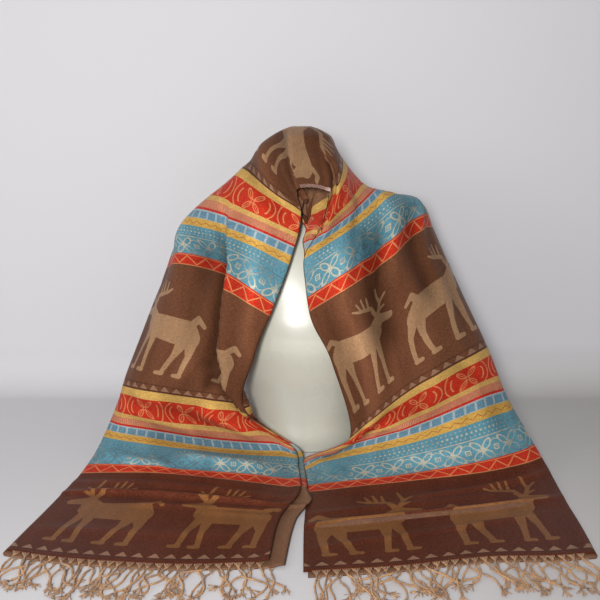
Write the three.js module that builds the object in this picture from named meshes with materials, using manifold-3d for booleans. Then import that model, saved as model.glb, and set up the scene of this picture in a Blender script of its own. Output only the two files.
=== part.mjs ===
// A pashmina shawl, folded once along its length and draped over a bust dress form.
//
// The form is a limbless, headless torso that stands on its flat base. The doubled shawl crosses
// the top of the neck with its fold at the back, falls over both shoulders, and its two fringed
// ends run forward onto the surface that the form stands on.
//
// Units are millimetres. +Z is up, -Y is the wearer's front, +X is to the right of a viewer who
// faces the front. The origin is the centre of the form's flat base.

import * as THREE from 'three';
import Module from 'manifold-3d';

const wasm = await Module();
wasm.setup();

// The shawl as cut. The pattern is bands of plain ground with stripe groups between them, and
// every station along the cloth is named from the middle of the shawl, negative to the left.
const SHAWL_WIDTH = 700;
const GROUND_BAND = 205;
const STRIPE_GROUP = 195;
const FOLDED_WIDTH = SHAWL_WIDTH / 2;
const NECK_BAND_END = GROUND_BAND / 2;
const SHOULDER_BAND = NECK_BAND_END + STRIPE_GROUP;
const LOWER_STRIPES = SHOULDER_BAND + GROUND_BAND;
const END_BAND = LOWER_STRIPES + STRIPE_GROUP;
const HEM = END_BAND + GROUND_BAND;

// The cloth as built: two layers, each a thin wall, with a small gap between them.
const CLOTH = 1.0;
const LAYER_GAP = 0.7;
const LAYER_STEP = CLOTH + LAYER_GAP;
const UNDER_ON_TABLE = CLOTH / 2;
const UPPER_ON_TABLE = UNDER_ON_TABLE + LAYER_STEP;
const PIECE_GAP = 0.5;

// The dress form. Each row is a level of the torso: its half width, and how far it reaches to
// the front and to the back of its axis.
const FORM_AXIS_X = 0;
const FORM_ROUNDNESS = 2.25;
const FORM_SIDES = 38;
const FORM_LEVELS = [
  { z: 0, half: 98, front: 92, back: 76 },
  { z: 14, half: 101, front: 95, back: 79 },
  { z: 50, half: 101, front: 95, back: 80 },
  { z: 95, half: 110, front: 102, back: 86 },
  { z: 140, half: 124, front: 114, back: 91 },
  { z: 185, half: 137, front: 122, back: 95 },
  { z: 225, half: 146, front: 118, back: 97 },
  { z: 265, half: 156, front: 104, back: 97 },
  { z: 305, half: 172, front: 88, back: 93 },
  { z: 335, half: 182, front: 75, back: 85 },
  { z: 358, half: 176, front: 64, back: 74 },
  { z: 376, half: 148, front: 55, back: 64 },
  { z: 392, half: 108, front: 49, back: 57 },
  { z: 408, half: 76, front: 46, back: 52 },
  { z: 430, half: 51, front: 43, back: 46 },
  { z: 460, half: 42, front: 41, back: 42 },
  { z: 496, half: 40, front: 40, back: 40 },
  { z: 507, half: 33, front: 33, back: 33 },
  { z: 513, half: 21, front: 21, back: 21 },
];
const FORM_TOP = 516.4;
const FORM_APEX = 520.3;
const FORM_CLEARANCE = 5.5;

// The drape of the upper layer. Each row is a section across the folded shawl at one station:
// the folded edge, the back, the ridge where the cloth turns over, the front, and the free edge.
const T = UPPER_ON_TABLE;
const SECTIONS = [
  { s: -HEM, fold: [-389, -378, T], back: [-335, -391, T], ridge: [-265, -401, T],
    front: [-160, -409, T], edge: [-49, -404, T] },
  { s: -800, fold: [-371, -284, T], back: [-320, -285, T], ridge: [-260, -290, T],
    front: [-150, -300, T], edge: [-38, -306, T] },
  { s: -END_BAND, fold: [-350, -172, 4], back: [-310, -174, 6], ridge: [-260, -178, 7],
    front: [-140, -192, 5], edge: [-8, -219, T + 2] },
  { s: -650, fold: [-338, -128, 18], back: [-310, -138, 20], ridge: [-260, -145, 17],
    front: [-140, -151, 10], edge: [-18, -162, 6] },
  { s: -600, fold: [-327, -92, 42], back: [-309, -104, 43], ridge: [-264, -110, 38],
    front: [-152, -113, 22], edge: [-36, -110, 13] },
  { s: -LOWER_STRIPES, fold: [-301, -62, 110], back: [-300, -78, 113], ridge: [-287, -93, 116],
    front: [-174, -124, 110], edge: [-98, -117, 97] },
  { s: -400, fold: [-270, -2, 196], back: [-271, -21, 199], ridge: [-258, -47, 204],
    front: [-158, -112, 197], edge: [-75, -132, 190] },
  { s: -SHOULDER_BAND, fold: [-236, 42, 262], back: [-238, 14, 284], ridge: [-226, -22, 302],
    front: [-132, -88, 303], edge: [-48, -121, 258] },
  { s: -210, fold: [-190, 88, 290], back: [-206, 48, 348], ridge: [-198, -5, 371],
    front: [-112, -64, 363], edge: [-22, -98, 330] },
  { s: -NECK_BAND_END, fold: [-96, 110, 320], back: [-108, 60, 420], ridge: [-104, -2, 458],
    front: [-56, -62, 432], edge: [-8, -86, 401] },
  { s: -45, fold: [-46, 106, 342], back: [-58, 64, 444], ridge: [-57, 1, 504],
    front: [-36, -56, 476], edge: [-14, -87, 433] },
  { s: 0, fold: [-10, 98, 352], back: [-16, 64, 460], ridge: [-20, 1, 522],
    front: [-7, -54, 490], edge: [8, -88, 437] },
  { s: 45, fold: [34, 100, 342], back: [24, 66, 444], ridge: [26, 1, 520],
    front: [24, -56, 484], edge: [31, -88, 432] },
  { s: NECK_BAND_END, fold: [84, 108, 322], back: [66, 64, 410], ridge: [58, 0, 472],
    front: [48, -58, 450], edge: [34, -86, 424] },
  { s: 160, fold: [130, 102, 312], back: [108, 56, 386], ridge: [97, -6, 431],
    front: [66, -66, 410], edge: [22, -93, 378] },
  { s: 215, fold: [178, 92, 322], back: [158, 50, 392], ridge: [146, -4, 418],
    front: [76, -71, 377], edge: [-4, -97, 330] },
  { s: 256, fold: [211, 72, 330], back: [198, 42, 391], ridge: [186, -4, 403],
    front: [90, -80, 349], edge: [-2, -108, 292] },
  { s: SHOULDER_BAND, fold: [222, 54, 318], back: [216, 32, 352], ridge: [203, -4, 363],
    front: [102, -92, 306], edge: [4, -122, 251] },
  { s: 400, fold: [258, 10, 250], back: [257, -12, 260], ridge: [245, -39, 268],
    front: [130, -120, 218], edge: [39, -133, 173] },
  { s: LOWER_STRIPES, fold: [299, -42, 170], back: [296, -62, 174], ridge: [281, -84, 175],
    front: [161, -142, 130], edge: [70, -117, 38] },
  { s: 600, fold: [328, -92, 96], back: [322, -108, 100], ridge: [300, -124, 101],
    front: [178, -137, 58], edge: [0, -142, 8] },
  { s: 650, fold: [349, -120, 58], back: [337, -135, 58], ridge: [306, -151, 54],
    front: [170, -166, 22], edge: [-1, -184, 5] },
  { s: END_BAND, fold: [371, -150, 20], back: [350, -163, 19], ridge: [308, -176, 15],
    front: [160, -203, 6], edge: [-1, -229, T + 1] },
  { s: 800, fold: [374, -270, T], back: [330, -279, T], ridge: [260, -292, T],
    front: [120, -313, T], edge: [-5, -331, T] },
  { s: HEM, fold: [367, -384, T], back: [320, -390, T], ridge: [240, -392, T],
    front: [110, -413, T], edge: [-6, -424, T] },
];
const RAILS = ['fold', 'back', 'ridge', 'front', 'edge'];

// Knife pleats: the cloth runs forward to the turn, back by the tuck and forward again. A row
// holds, at one station, where across the cloth it turns, its tuck, and its rise: above zero the
// side of the free edge lies on top, below zero the side of the folded edge.
const PLEATS = [
  { s: -545, turn: 338, tuck: 0, rise: 4 },
  { s: -LOWER_STRIPES, turn: 296, tuck: 32, rise: 13 },
  { s: -455, turn: 262, tuck: 43, rise: 15 },
  { s: -400, turn: 241, tuck: 44, rise: 15 },
  { s: -SHOULDER_BAND, turn: 233, tuck: 27, rise: 14 },
  { s: -205, turn: 226, tuck: 6, rise: 5 },
  { s: -150, turn: 220, tuck: 0, rise: 0 },
  { s: 25, turn: 262, tuck: 0, rise: 0 },
  { s: 60, turn: 276, tuck: 13, rise: -9 },
  { s: NECK_BAND_END, turn: 296, tuck: 20, rise: -12 },
  { s: 145, turn: 316, tuck: 16, rise: -11 },
  { s: 185, turn: 330, tuck: 0, rise: -4 },
  { s: 230, turn: 330, tuck: 0, rise: 0 },
];
const PLEAT_BEND = 7;
const PLEAT_FADE = 110;

// Soft folds: troughs (negative) and ridges (positive), each a line across which the cloth
// rises or sinks. A row gives the line's two ends as station and place across, and its size.
const FOLDS = [
  { from: [-230, 172], to: [-420, 150], height: -8, half: 20 },
  { from: [-120, 262], to: [-290, 318], height: 6, half: 22 },
  { from: [-130, 140], to: [-250, 90], height: 3, half: 26 },
  { from: [-40, 118], to: [-190, 60], height: -7, half: 26 },
  { from: [235, 150], to: [400, 132], height: -9, half: 20 },
  { from: [240, 222], to: [420, 238], height: -12, half: 26 },
  { from: [250, 280], to: [520, 296], height: 9, half: 26 },
  { from: [520, 250], to: [600, 322], height: -9, half: 22 },
  { from: [-560, 300], to: [-520, 210], height: 8, half: 20 },
  { from: [-585, 60], to: [-600, 300], height: -5, half: 17 },
  { from: [-640, 150], to: [-655, 290], height: 9, half: 18 },
  { from: [-655, 20], to: [-668, 130], height: 6, half: 16 },
  { from: [640, 210], to: [660, 60], height: 5, half: 18 },
];

// Low creases where the ends lie on the table, from being kept folded: each stands up a little.
const CREASES = [
  { from: [-722, 20], to: [-736, 320], height: 5.5, half: 9 },
  { from: [-842, 30], to: [-838, 300], height: 1.6, half: 14 },
  { from: [722, 15], to: [742, 200], height: 3.5, half: 10 },
  { from: [772, 60], to: [790, 330], height: 4.5, half: 9 },
];

// Where the under layer's free edge lies beside the upper layer's: how far to the right, how
// far up, and how far it stands off below that layer.
const UNDER_EDGE = [
  { s: -HEM, right: 20, up: 0, below: 0 },
  { s: -800, right: 22, up: 0, below: 0 },
  { s: -740, right: 24, up: 0, below: 0 },
  { s: -END_BAND, right: 9, up: 0, below: 0 },
  { s: -600, right: 10, up: 0, below: 2 },
  { s: -540, right: -4, up: 0, below: 5 },
  { s: -LOWER_STRIPES, right: -4, up: 0, below: 9 },
  { s: -400, right: -5, up: 0, below: 6 },
  { s: -SHOULDER_BAND, right: -12, up: 0, below: 5 },
  { s: -NECK_BAND_END, right: -4, up: 0, below: 7 },
  { s: -45, right: 6, up: -16, below: 10 },
  { s: 0, right: -10, up: -38, below: 9 },
  { s: 45, right: -26, up: -50, below: 9 },
  { s: NECK_BAND_END, right: -32, up: -38, below: 8 },
  { s: 160, right: -20, up: -16, below: 7 },
  { s: 215, right: 2, up: 0, below: 6 },
  { s: SHOULDER_BAND, right: 10, up: 0, below: 5 },
  { s: LOWER_STRIPES, right: 6, up: 0, below: 4 },
  { s: 600, right: 4, up: 0, below: 2 },
  { s: END_BAND, right: 6, up: 0, below: 0 },
  { s: HEM, right: 6, up: 0, below: 0 },
];
const UNDER_EDGE_REACH = 120;

// The under layer's hem lies a little past the upper layer's at both ends.
const UNDER_HEM_PAST = 9;

// Stations where the shawl is parted into its stretches.
const STRETCHES = [
  { name: 'shawl_left_end', from: -HEM, to: -675, steps: 7 },
  { name: 'shawl_left_drape', from: -675, to: -205, steps: 18 },
  { name: 'shawl_crown', from: -205, to: 205, steps: 17 },
  { name: 'shawl_right_drape', from: 205, to: 675, steps: 18 },
  { name: 'shawl_right_end', from: 675, to: HEM, steps: 7 },
];

// The fringe: twisted strands that leave a narrow heading parted from each hem.
const STRAND_PITCH = 17;
const STRAND_REACH = 72;
const STRAND_HALF = 0.95;
const STRAND_TIP_HALF = 1.5;
const STRAND_STEPS = 4;
const STRAND_SIDES = 4;
const STRAND_SWAY = 4;
const HEADING_DEPTH = 2.4;
const HEADING_INSET = 5;
const FLOOR_GAP = 0.3;

const clamp = (x, low, high) => Math.min(high, Math.max(low, x));
const lerp = (a, b, t) => a + (b - a) * t;
const smooth = (t) => {
  const c = clamp(t, 0, 1);
  return c * c * (3 - 2 * c);
};

// A cubic through values at uneven knots. Its slopes are the mean of the two chords beside a
// knot, weighted by the other's length, and an end takes the slope of its only chord.
function curveThrough(knots, values, x) {
  const last = knots.length - 1;
  const slope = (i) => {
    if (i === 0) return (values[1] - values[0]) / (knots[1] - knots[0]);
    if (i === last) return (values[last] - values[last - 1]) / (knots[last] - knots[last - 1]);
    const before = knots[i] - knots[i - 1];
    const after = knots[i + 1] - knots[i];
    const rise = (values[i] - values[i - 1]) / before;
    const next = (values[i + 1] - values[i]) / after;
    return (rise * after + next * before) / (before + after);
  };
  let i = 0;
  while (i < last - 1 && x > knots[i + 1]) i += 1;
  const h = knots[i + 1] - knots[i];
  const t = (x - knots[i]) / h;
  const a = slope(i) * h;
  const b = slope(i + 1) * h;
  const rise = values[i + 1] - values[i];
  return values[i] + t * (a + t * (3 * rise - 2 * a - b + t * (a + b - 2 * rise)));
}

// A column of a table of rows keyed by station, eased between its rows.
function column(rows, key, s) {
  if (s <= rows[0].s) return rows[0][key];
  for (let i = 1; i < rows.length; i += 1) {
    if (s <= rows[i].s) {
      const t = smooth((s - rows[i - 1].s) / (rows[i].s - rows[i - 1].s));
      return lerp(rows[i - 1][key], rows[i][key], t);
    }
  }
  return rows[rows.length - 1][key];
}

// The form's half width and reach at a level.
const formKnots = FORM_LEVELS.map((row) => row.z);
function formLevel(z) {
  const read = (key) => curveThrough(formKnots, FORM_LEVELS.map((row) => row[key]), z);
  return { half: read('half'), front: read('front'), back: read('back') };
}

// Whether a point lies in the form once the form is grown by the clearance.
function inForm(p, clearance) {
  const top = formKnots[formKnots.length - 1];
  if (p.z > FORM_TOP + clearance) return false;
  const { half, front, back } = formLevel(clamp(p.z - clearance / 2, 0, top));
  const across = Math.abs(p.x - FORM_AXIS_X) / (half + clearance);
  const along = Math.abs(p.y) / ((p.y < 0 ? front : back) + clearance);
  return across ** FORM_ROUNDNESS + along ** FORM_ROUNDNESS < 1;
}

// Moves a point that is in the form, or closer to it than the clearance, out to that clearance.
const OUT_STEP = 0.4;
function clearOfForm(p, clearance) {
  const away = new THREE.Vector3(p.x / 2, p.y, p.z - Math.min(p.z - 25, 455)).normalize();
  for (let turn = 0; turn < 150 && inForm(p, clearance); turn += 1) {
    p.addScaledVector(away, OUT_STEP);
  }
  return p;
}

// The section across the upper layer at a station, before pleats and folds: the points of its
// five rails, and their distances from the folded edge along the chords.
const sectionKnots = SECTIONS.map((row) => row.s);
function sectionAt(s) {
  const points = RAILS.map((rail) => new THREE.Vector3(
    ...[0, 1, 2].map((axis) => curveThrough(sectionKnots, SECTIONS.map((row) => row[rail][axis]), s)),
  ));
  const reach = [0];
  for (let i = 1; i < points.length; i += 1) {
    reach.push(reach[i - 1] + points[i].distanceTo(points[i - 1]));
  }
  return { points, reach };
}

// A point of the section at a share of its width from the folded edge.
function alongSection(section, share) {
  const { points, reach } = section;
  const at = share * reach[reach.length - 1];
  const p = new THREE.Vector3(
    curveThrough(reach, points.map((q) => q.x), at),
    curveThrough(reach, points.map((q) => q.y), at),
    curveThrough(reach, points.map((q) => q.z), at),
  );
  p.z = Math.max(p.z, UPPER_ON_TABLE);
  return p;
}

// Zero before a bend, the distance past it after, and rounded over the bend's reach.
function pastBend(x) {
  const t = clamp((x + PLEAT_BEND) / (2 * PLEAT_BEND), 0, 1);
  return 2 * PLEAT_BEND * t * t * t * (1 - t / 2) + Math.max(0, x - PLEAT_BEND);
}

// The knife pleat at a station: the distance across the base section for a distance across the
// cloth, and the height above that base. The side on top eases down away from the pleat.
function pleatAt(s, w) {
  const turn = column(PLEATS, 'turn', s);
  const tuck = column(PLEATS, 'tuck', s);
  const rise = column(PLEATS, 'rise', s);
  const folded = (x) => 2 * (pastBend(x - turn) - pastBend(x - turn - tuck));
  const bend = (x) => smooth((x + PLEAT_BEND) / (2 * PLEAT_BEND));
  const turned = (bend(w - turn) + bend(w - turn - tuck)) / 2;
  const beyond = smooth((w - turn - tuck - PLEAT_BEND) / PLEAT_FADE);
  const before = smooth((turn - PLEAT_BEND - w) / PLEAT_FADE);
  const height = rise > 0
    ? rise * turned * lerp(1, 0.4, beyond)
    : -rise * (1 - turned) * (1 - before);
  return { across: w - folded(w), height, width: FOLDED_WIDTH - folded(FOLDED_WIDTH) };
}

// The height that one row of folds or creases adds at a station and place across.
function ridgeHeight(row, s, w) {
  const [s0, w0] = row.from;
  const [s1, w1] = row.to;
  const length = Math.hypot(s1 - s0, w1 - w0);
  const t = ((s - s0) * (s1 - s0) + (w - w0) * (w1 - w0)) / length ** 2;
  const off = ((s - s0) * (w1 - w0) - (w - w0) * (s1 - s0)) / length / row.half;
  const ends = smooth((t + 0.18) / 0.36) * smooth((1.18 - t) / 0.36);
  return row.height * Math.exp(-off * off) * ends;
}

const foldHeight = (s, w) => FOLDS.reduce((sum, row) => sum + ridgeHeight(row, s, w), 0);
const creaseHeight = (s, w) => CREASES.reduce((sum, row) => sum + ridgeHeight(row, s, w), 0);

// The base of the upper layer with no pleats or folds.
function basePoint(s, across, width) {
  return alongSection(sectionAt(s), across / width);
}

// The outward normal of the base at a station and distance across it.
function baseNormal(s, across, width) {
  const step = 3;
  const s0 = clamp(s - step, -HEM, HEM);
  const s1 = clamp(s + step, -HEM, HEM);
  const a0 = clamp(across - step, 0, width);
  const a1 = clamp(across + step, 0, width);
  const along = basePoint(s1, across, width).sub(basePoint(s0, across, width));
  const over = basePoint(s, a1, width).sub(basePoint(s, a0, width));
  return over.cross(along).normalize();
}

// The middle of the upper layer's wall.
function upperPoint(s, w) {
  const { across, height, width } = pleatAt(s, w);
  const base = basePoint(s, across, width);
  const normal = baseNormal(s, clamp(across, 0, width), width);
  base.addScaledVector(normal, height + foldHeight(s, w));
  base.z = Math.max(base.z, UPPER_ON_TABLE) + Math.max(0, creaseHeight(s, w));
  return clearOfForm(base, FORM_CLEARANCE + LAYER_STEP);
}

// The outward normal of the upper layer, pleats and folds included.
function upperNormal(s, w) {
  const step = 1.5;
  const s0 = clamp(s - step, -HEM, HEM);
  const s1 = clamp(s + step, -HEM, HEM);
  const w0 = clamp(w - step, 0, FOLDED_WIDTH);
  const w1 = clamp(w + step, 0, FOLDED_WIDTH);
  const along = upperPoint(s1, w).sub(upperPoint(s0, w));
  const over = upperPoint(s, w1).sub(upperPoint(s, w0));
  return over.cross(along).normalize();
}

// The middle of the under layer's wall. Towards its free edge it leaves the upper layer.
function underPoint(s, w) {
  const near = smooth((w - FOLDED_WIDTH + UNDER_EDGE_REACH) / UNDER_EDGE_REACH) ** 1.5;
  const p = upperPoint(s, w);
  p.addScaledVector(upperNormal(s, w), -LAYER_STEP - column(UNDER_EDGE, 'below', s) * near);
  p.x += column(UNDER_EDGE, 'right', s) * near;
  p.y -= UNDER_HEM_PAST * smooth((Math.abs(s) - END_BAND) / GROUND_BAND);
  p.z = Math.max(p.z + column(UNDER_EDGE, 'up', s) * near, UNDER_ON_TABLE);
  return clearOfForm(p, FORM_CLEARANCE);
}

// Places across the cloth where the walls have points: even before the pleat and after it, and
// close at its two bends.
const PLACES_BEFORE = 6;
const PLACES_AFTER = 3;
const BEND_PLACES = 2;
function placesAcross(s) {
  const turn = column(PLEATS, 'turn', s);
  const tuck = Math.max(column(PLEATS, 'tuck', s), PLEAT_BEND);
  const first = turn - 2 * PLEAT_BEND;
  const last = Math.min(turn + tuck + 2 * PLEAT_BEND, FOLDED_WIDTH - 3);
  const places = [];
  for (let i = 0; i < PLACES_BEFORE; i += 1) places.push((first * i) / PLACES_BEFORE);
  places.push(first, turn - PLEAT_BEND / 3, turn + PLEAT_BEND / 2);
  places.push(turn + tuck / 2 + PLEAT_BEND / 4);
  places.push(lerp(turn + tuck, last, 0.1), lerp(turn + tuck, last, 0.55));
  for (let i = 0; i <= PLACES_AFTER; i += 1) {
    places.push(lerp(last, FOLDED_WIDTH, i / PLACES_AFTER));
  }
  return places;
}

// The middle line of the doubled wall at a station: from the under layer's free edge to the
// fold, round the bend, and out to the upper layer's free edge.
function wallLine(s) {
  const places = placesAcross(s);
  const under = places.map((w) => underPoint(s, w)).reverse();
  const upper = places.map((w) => upperPoint(s, w));
  const inner = under[under.length - 1];
  const outer = upper[0];
  const middle = inner.clone().add(outer).divideScalar(2);
  const outward = middle.clone().sub(upper[1].clone().add(under[under.length - 2]).divideScalar(2));
  outward.normalize();
  const arm = outer.clone().sub(middle);
  const bend = [];
  for (let i = 1; i <= BEND_PLACES; i += 1) {
    const turn = (Math.PI * i) / (BEND_PLACES + 1);
    bend.push(middle.clone()
      .addScaledVector(arm, -Math.cos(turn))
      .addScaledVector(outward, arm.length() * Math.sin(turn)));
  }
  return [...under, ...bend, ...upper];
}

// A closed wall from the rows of its middle. The rows that the first and the last one turn
// towards, just outside the wall, give two walls that meet there the same end face.
function wallGeometry(rows, thickness, before = rows[0], beyond = rows[rows.length - 1]) {
  const last = rows.length - 1;
  const width = rows[0].length;
  const sides = [[], []];
  rows.forEach((row, i) => row.forEach((p, j) => {
    const next = i < last ? (i > 0 || before === rows[0] ? rows[i + 1] : row) : beyond;
    const previous = i > 0 ? (i < last || beyond === rows[last] ? rows[i - 1] : row) : before;
    const along = next[j].clone().sub(previous[j]);
    const arriving = p.clone().sub(row[Math.max(j - 1, 0)]);
    const leaving = row[Math.min(j + 1, width - 1)].clone().sub(p);
    if (arriving.length() > 0) arriving.normalize();
    if (leaving.length() > 0) leaving.normalize();
    const normal = arriving.add(leaving).cross(along).normalize();
    sides[0].push(p.clone().addScaledVector(normal, thickness / 2));
    sides[1].push(p.clone().addScaledVector(normal, -thickness / 2));
  }));
  sides.forEach((side) => side.forEach((p) => { p.z = Math.max(p.z, 0); }));
  const points = [...sides[0], ...sides[1]];
  const at = (side, i, j) => side * rows.length * width + i * width + j;
  const index = [];
  const quad = (a, b, c, d) => {
    const fromB = points[a].distanceTo(points[c]) > points[b].distanceTo(points[d]);
    index.push(...(fromB ? [b, c, d, b, d, a] : [a, b, c, a, c, d]));
  };
  for (let i = 0; i < last; i += 1) {
    for (let j = 0; j < width - 1; j += 1) {
      quad(at(0, i, j), at(0, i, j + 1), at(0, i + 1, j + 1), at(0, i + 1, j));
      quad(at(1, i, j), at(1, i + 1, j), at(1, i + 1, j + 1), at(1, i, j + 1));
    }
    quad(at(0, i, 0), at(0, i + 1, 0), at(1, i + 1, 0), at(1, i, 0));
    quad(at(0, i, width - 1), at(1, i, width - 1), at(1, i + 1, width - 1), at(0, i + 1, width - 1));
  }
  for (let j = 0; j < width - 1; j += 1) {
    quad(at(0, 0, j), at(1, 0, j), at(1, 0, j + 1), at(0, 0, j + 1));
    quad(at(0, last, j), at(0, last, j + 1), at(1, last, j + 1), at(1, last, j));
  }
  return meshGeometry(points, index);
}

function meshGeometry(points, index) {
  const geometry = new THREE.BufferGeometry();
  geometry.setAttribute('position', new THREE.Float32BufferAttribute(
    points.flatMap((p) => [p.x, p.y, p.z]), 3,
  ));
  geometry.setIndex(index);
  return geometry;
}

// One stretch of the shawl, between two stations, ending half a gap short of each.
function stretchGeometry({ from, to, steps }) {
  const start = from === -HEM ? from : from + PIECE_GAP / 2;
  const end = to === HEM ? to : to - PIECE_GAP / 2;
  const rows = [];
  for (let i = 0; i <= steps; i += 1) rows.push(wallLine(lerp(start, end, i / steps)));
  const before = from === -HEM ? rows[0] : wallLine(from - PIECE_GAP / 2);
  const beyond = to === HEM ? rows[steps] : wallLine(to + PIECE_GAP / 2);
  return wallGeometry(rows, CLOTH, before, beyond);
}

// The form: rings of the torso from the base to the top of the neck, closed by a flat base and
// a low dome.
function formGeometry() {
  const levels = FORM_LEVELS.map((row) => row.z);
  const points = [];
  levels.forEach((z) => {
    const { half, front, back } = formLevel(z);
    for (let k = 0; k < FORM_SIDES; k += 1) {
      const angle = (2 * Math.PI * k) / FORM_SIDES;
      const c = Math.cos(angle);
      const n = Math.sin(angle);
      const power = 2 / FORM_ROUNDNESS;
      points.push(new THREE.Vector3(
        FORM_AXIS_X + half * Math.sign(c) * Math.abs(c) ** power,
        (n < 0 ? front : back) * Math.sign(n) * Math.abs(n) ** power,
        z,
      ));
    }
  });
  const base = points.push(new THREE.Vector3(FORM_AXIS_X, 0, 0)) - 1;
  const top = points.push(new THREE.Vector3(FORM_AXIS_X, 0, FORM_APEX)) - 1;
  const index = [];
  for (let k = 0; k < FORM_SIDES; k += 1) {
    const next = (k + 1) % FORM_SIDES;
    for (let i = 0; i < levels.length - 1; i += 1) {
      const a = i * FORM_SIDES;
      const b = a + FORM_SIDES;
      index.push(a + k, a + next, b + next, a + k, b + next, b + k);
    }
    const crown = (levels.length - 1) * FORM_SIDES;
    index.push(base, next, k, top, crown + k, crown + next);
  }
  return meshGeometry(points, index);
}

// A fringe strand along a route, fat at its tip, as a closed tube with few sides.
function strandGeometry(route) {
  const points = [];
  const index = [];
  route.forEach((p, i) => {
    const before = route[Math.max(i - 1, 0)];
    const after = route[Math.min(i + 1, route.length - 1)];
    const along = after.clone().sub(before).normalize();
    const side = new THREE.Vector3(0, 0, 1).cross(along).normalize();
    const up = along.clone().cross(side).normalize();
    const half = lerp(STRAND_HALF, STRAND_TIP_HALF, smooth((i / (route.length - 1) - 0.5) * 2));
    for (let k = 0; k < STRAND_SIDES; k += 1) {
      const angle = (2 * Math.PI * (k + 0.5)) / STRAND_SIDES;
      points.push(p.clone()
        .addScaledVector(side, half * Math.cos(angle))
        .addScaledVector(up, half * Math.sin(angle)));
    }
  });
  for (let i = 0; i < route.length - 1; i += 1) {
    for (let k = 0; k < STRAND_SIDES; k += 1) {
      const a = i * STRAND_SIDES + k;
      const b = i * STRAND_SIDES + ((k + 1) % STRAND_SIDES);
      index.push(a, b, b + STRAND_SIDES, a, b + STRAND_SIDES, a + STRAND_SIDES);
    }
  }
  const end = (route.length - 1) * STRAND_SIDES;
  for (let k = 1; k < STRAND_SIDES - 1; k += 1) {
    index.push(0, k + 1, k, end, end + k, end + k + 1);
  }
  return meshGeometry(points, index);
}

function solidOf(geometry) {
  const mesh = new wasm.Mesh({
    numProp: 3,
    vertProperties: new Float32Array(geometry.getAttribute('position').array),
    triVerts: new Uint32Array(geometry.index.array),
  });
  return new wasm.Manifold(mesh);
}

function geometryOf(solid) {
  const { vertProperties, triVerts } = solid.getMesh();
  const geometry = new THREE.BufferGeometry();
  geometry.setAttribute('position', new THREE.Float32BufferAttribute(vertProperties, 3));
  geometry.setIndex(Array.from(triVerts));
  return geometry;
}

// The line of a layer's hem, in order of x.
function hemLine(end, layer) {
  const point = layer === 'upper' ? upperPoint : underPoint;
  const line = placesAcross(end * HEM).map((w) => point(end * HEM, w));
  return end < 0 ? line : line.reverse();
}

// How far back the hem lies at an x.
function hemDepth(line, x) {
  let i = 1;
  while (i < line.length - 1 && x > line[i].x) i += 1;
  return lerp(line[i - 1].y, line[i].y, (x - line[i - 1].x) / (line[i].x - line[i - 1].x));
}

// The fringe of one layer at one end: a heading strip that follows the hem, with its strands
// fused into it. The strands of both layers take turns across the hem and bend alike at each
// distance from it, so that no strand crosses another.
function fringeGeometry(end, layer) {
  const line = hemLine(end, layer);
  const upperLine = hemLine(end, 'upper');
  const level = layer === 'upper' ? UPPER_ON_TABLE : UNDER_ON_TABLE;
  const inner = [line[0].x + HEADING_INSET, line[line.length - 1].x - HEADING_INSET];
  const kept = line.map((p) => p.x).filter((x) => x > inner[0] && x < inner[1]);
  const strip = [0, HEADING_DEPTH].map((depth) => [inner[0], ...kept, inner[1]].map((x) => (
    new THREE.Vector3(x, hemDepth(line, x) - PIECE_GAP - depth, level)
  )));
  let fringe = solidOf(wallGeometry(strip, CLOTH));
  const first = upperLine[0].x + HEADING_INSET + (layer === 'upper' ? 0.3 : 0.8) * STRAND_PITCH;
  for (let x = first; x < inner[1] - STRAND_TIP_HALF; x += STRAND_PITCH) {
    const root = hemDepth(line, x) - PIECE_GAP - HEADING_DEPTH / 2;
    const reach = root - hemDepth(upperLine, x) + STRAND_REACH + 3 * Math.sin(x / 11);
    const route = [];
    for (let i = 0; i <= STRAND_STEPS; i += 1) {
      const t = i / STRAND_STEPS;
      const y = root - reach * t;
      const gone = (hemDepth(upperLine, x) - y) / STRAND_REACH;
      const sway = STRAND_SWAY * Math.sin(x / 55 + 4.5 * gone) * smooth(gone * 2);
      const drop = layer === 'upper' ? smooth((t - 0.25) / 0.4) : 0;
      const rest = FLOOR_GAP + lerp(STRAND_HALF, STRAND_TIP_HALF, smooth((t - 0.5) * 2));
      route.push(new THREE.Vector3(x + sway, y, Math.max(lerp(level, rest, drop), rest)));
    }
    fringe = fringe.add(solidOf(strandGeometry(route)));
  }
  return geometryOf(fringe);
}

const finish = (color, roughness) => new THREE.MeshStandardMaterial({ color, roughness, metalness: 0 });
const cloth = finish(0x6b4436, 0.75);
const thread = finish(0xb07a4c, 0.7);
const plastic = finish(0xe4e4de, 0.18);

function named(name, geometry, material) {
  const mesh = new THREE.Mesh(geometry, material);
  mesh.name = name;
  return mesh;
}

const shawlOnForm = new THREE.Group();
shawlOnForm.add(named('dress_form', formGeometry(), plastic));
STRETCHES.forEach((stretch) => {
  shawlOnForm.add(named(stretch.name, stretchGeometry(stretch), cloth));
});
[['left', -1], ['right', 1]].forEach(([side, end]) => {
  ['upper', 'under'].forEach((layer) => {
    shawlOnForm.add(named(`fringe_${side}_${layer}`, fringeGeometry(end, layer), thread));
  });
});

export default shawlOnForm;
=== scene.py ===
# %% [markdown]
# # A pashmina shawl on a dress form
# A fine wool shawl, woven with bands of deer between groups of bright stripes, is folded once
# along its length and laid over the neck of a glossy white bust form. Both fringed ends run
# forward onto the table. We load the measured model first: every piece we make is set into it.

# %% Load the measured model
import math
import random

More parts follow.
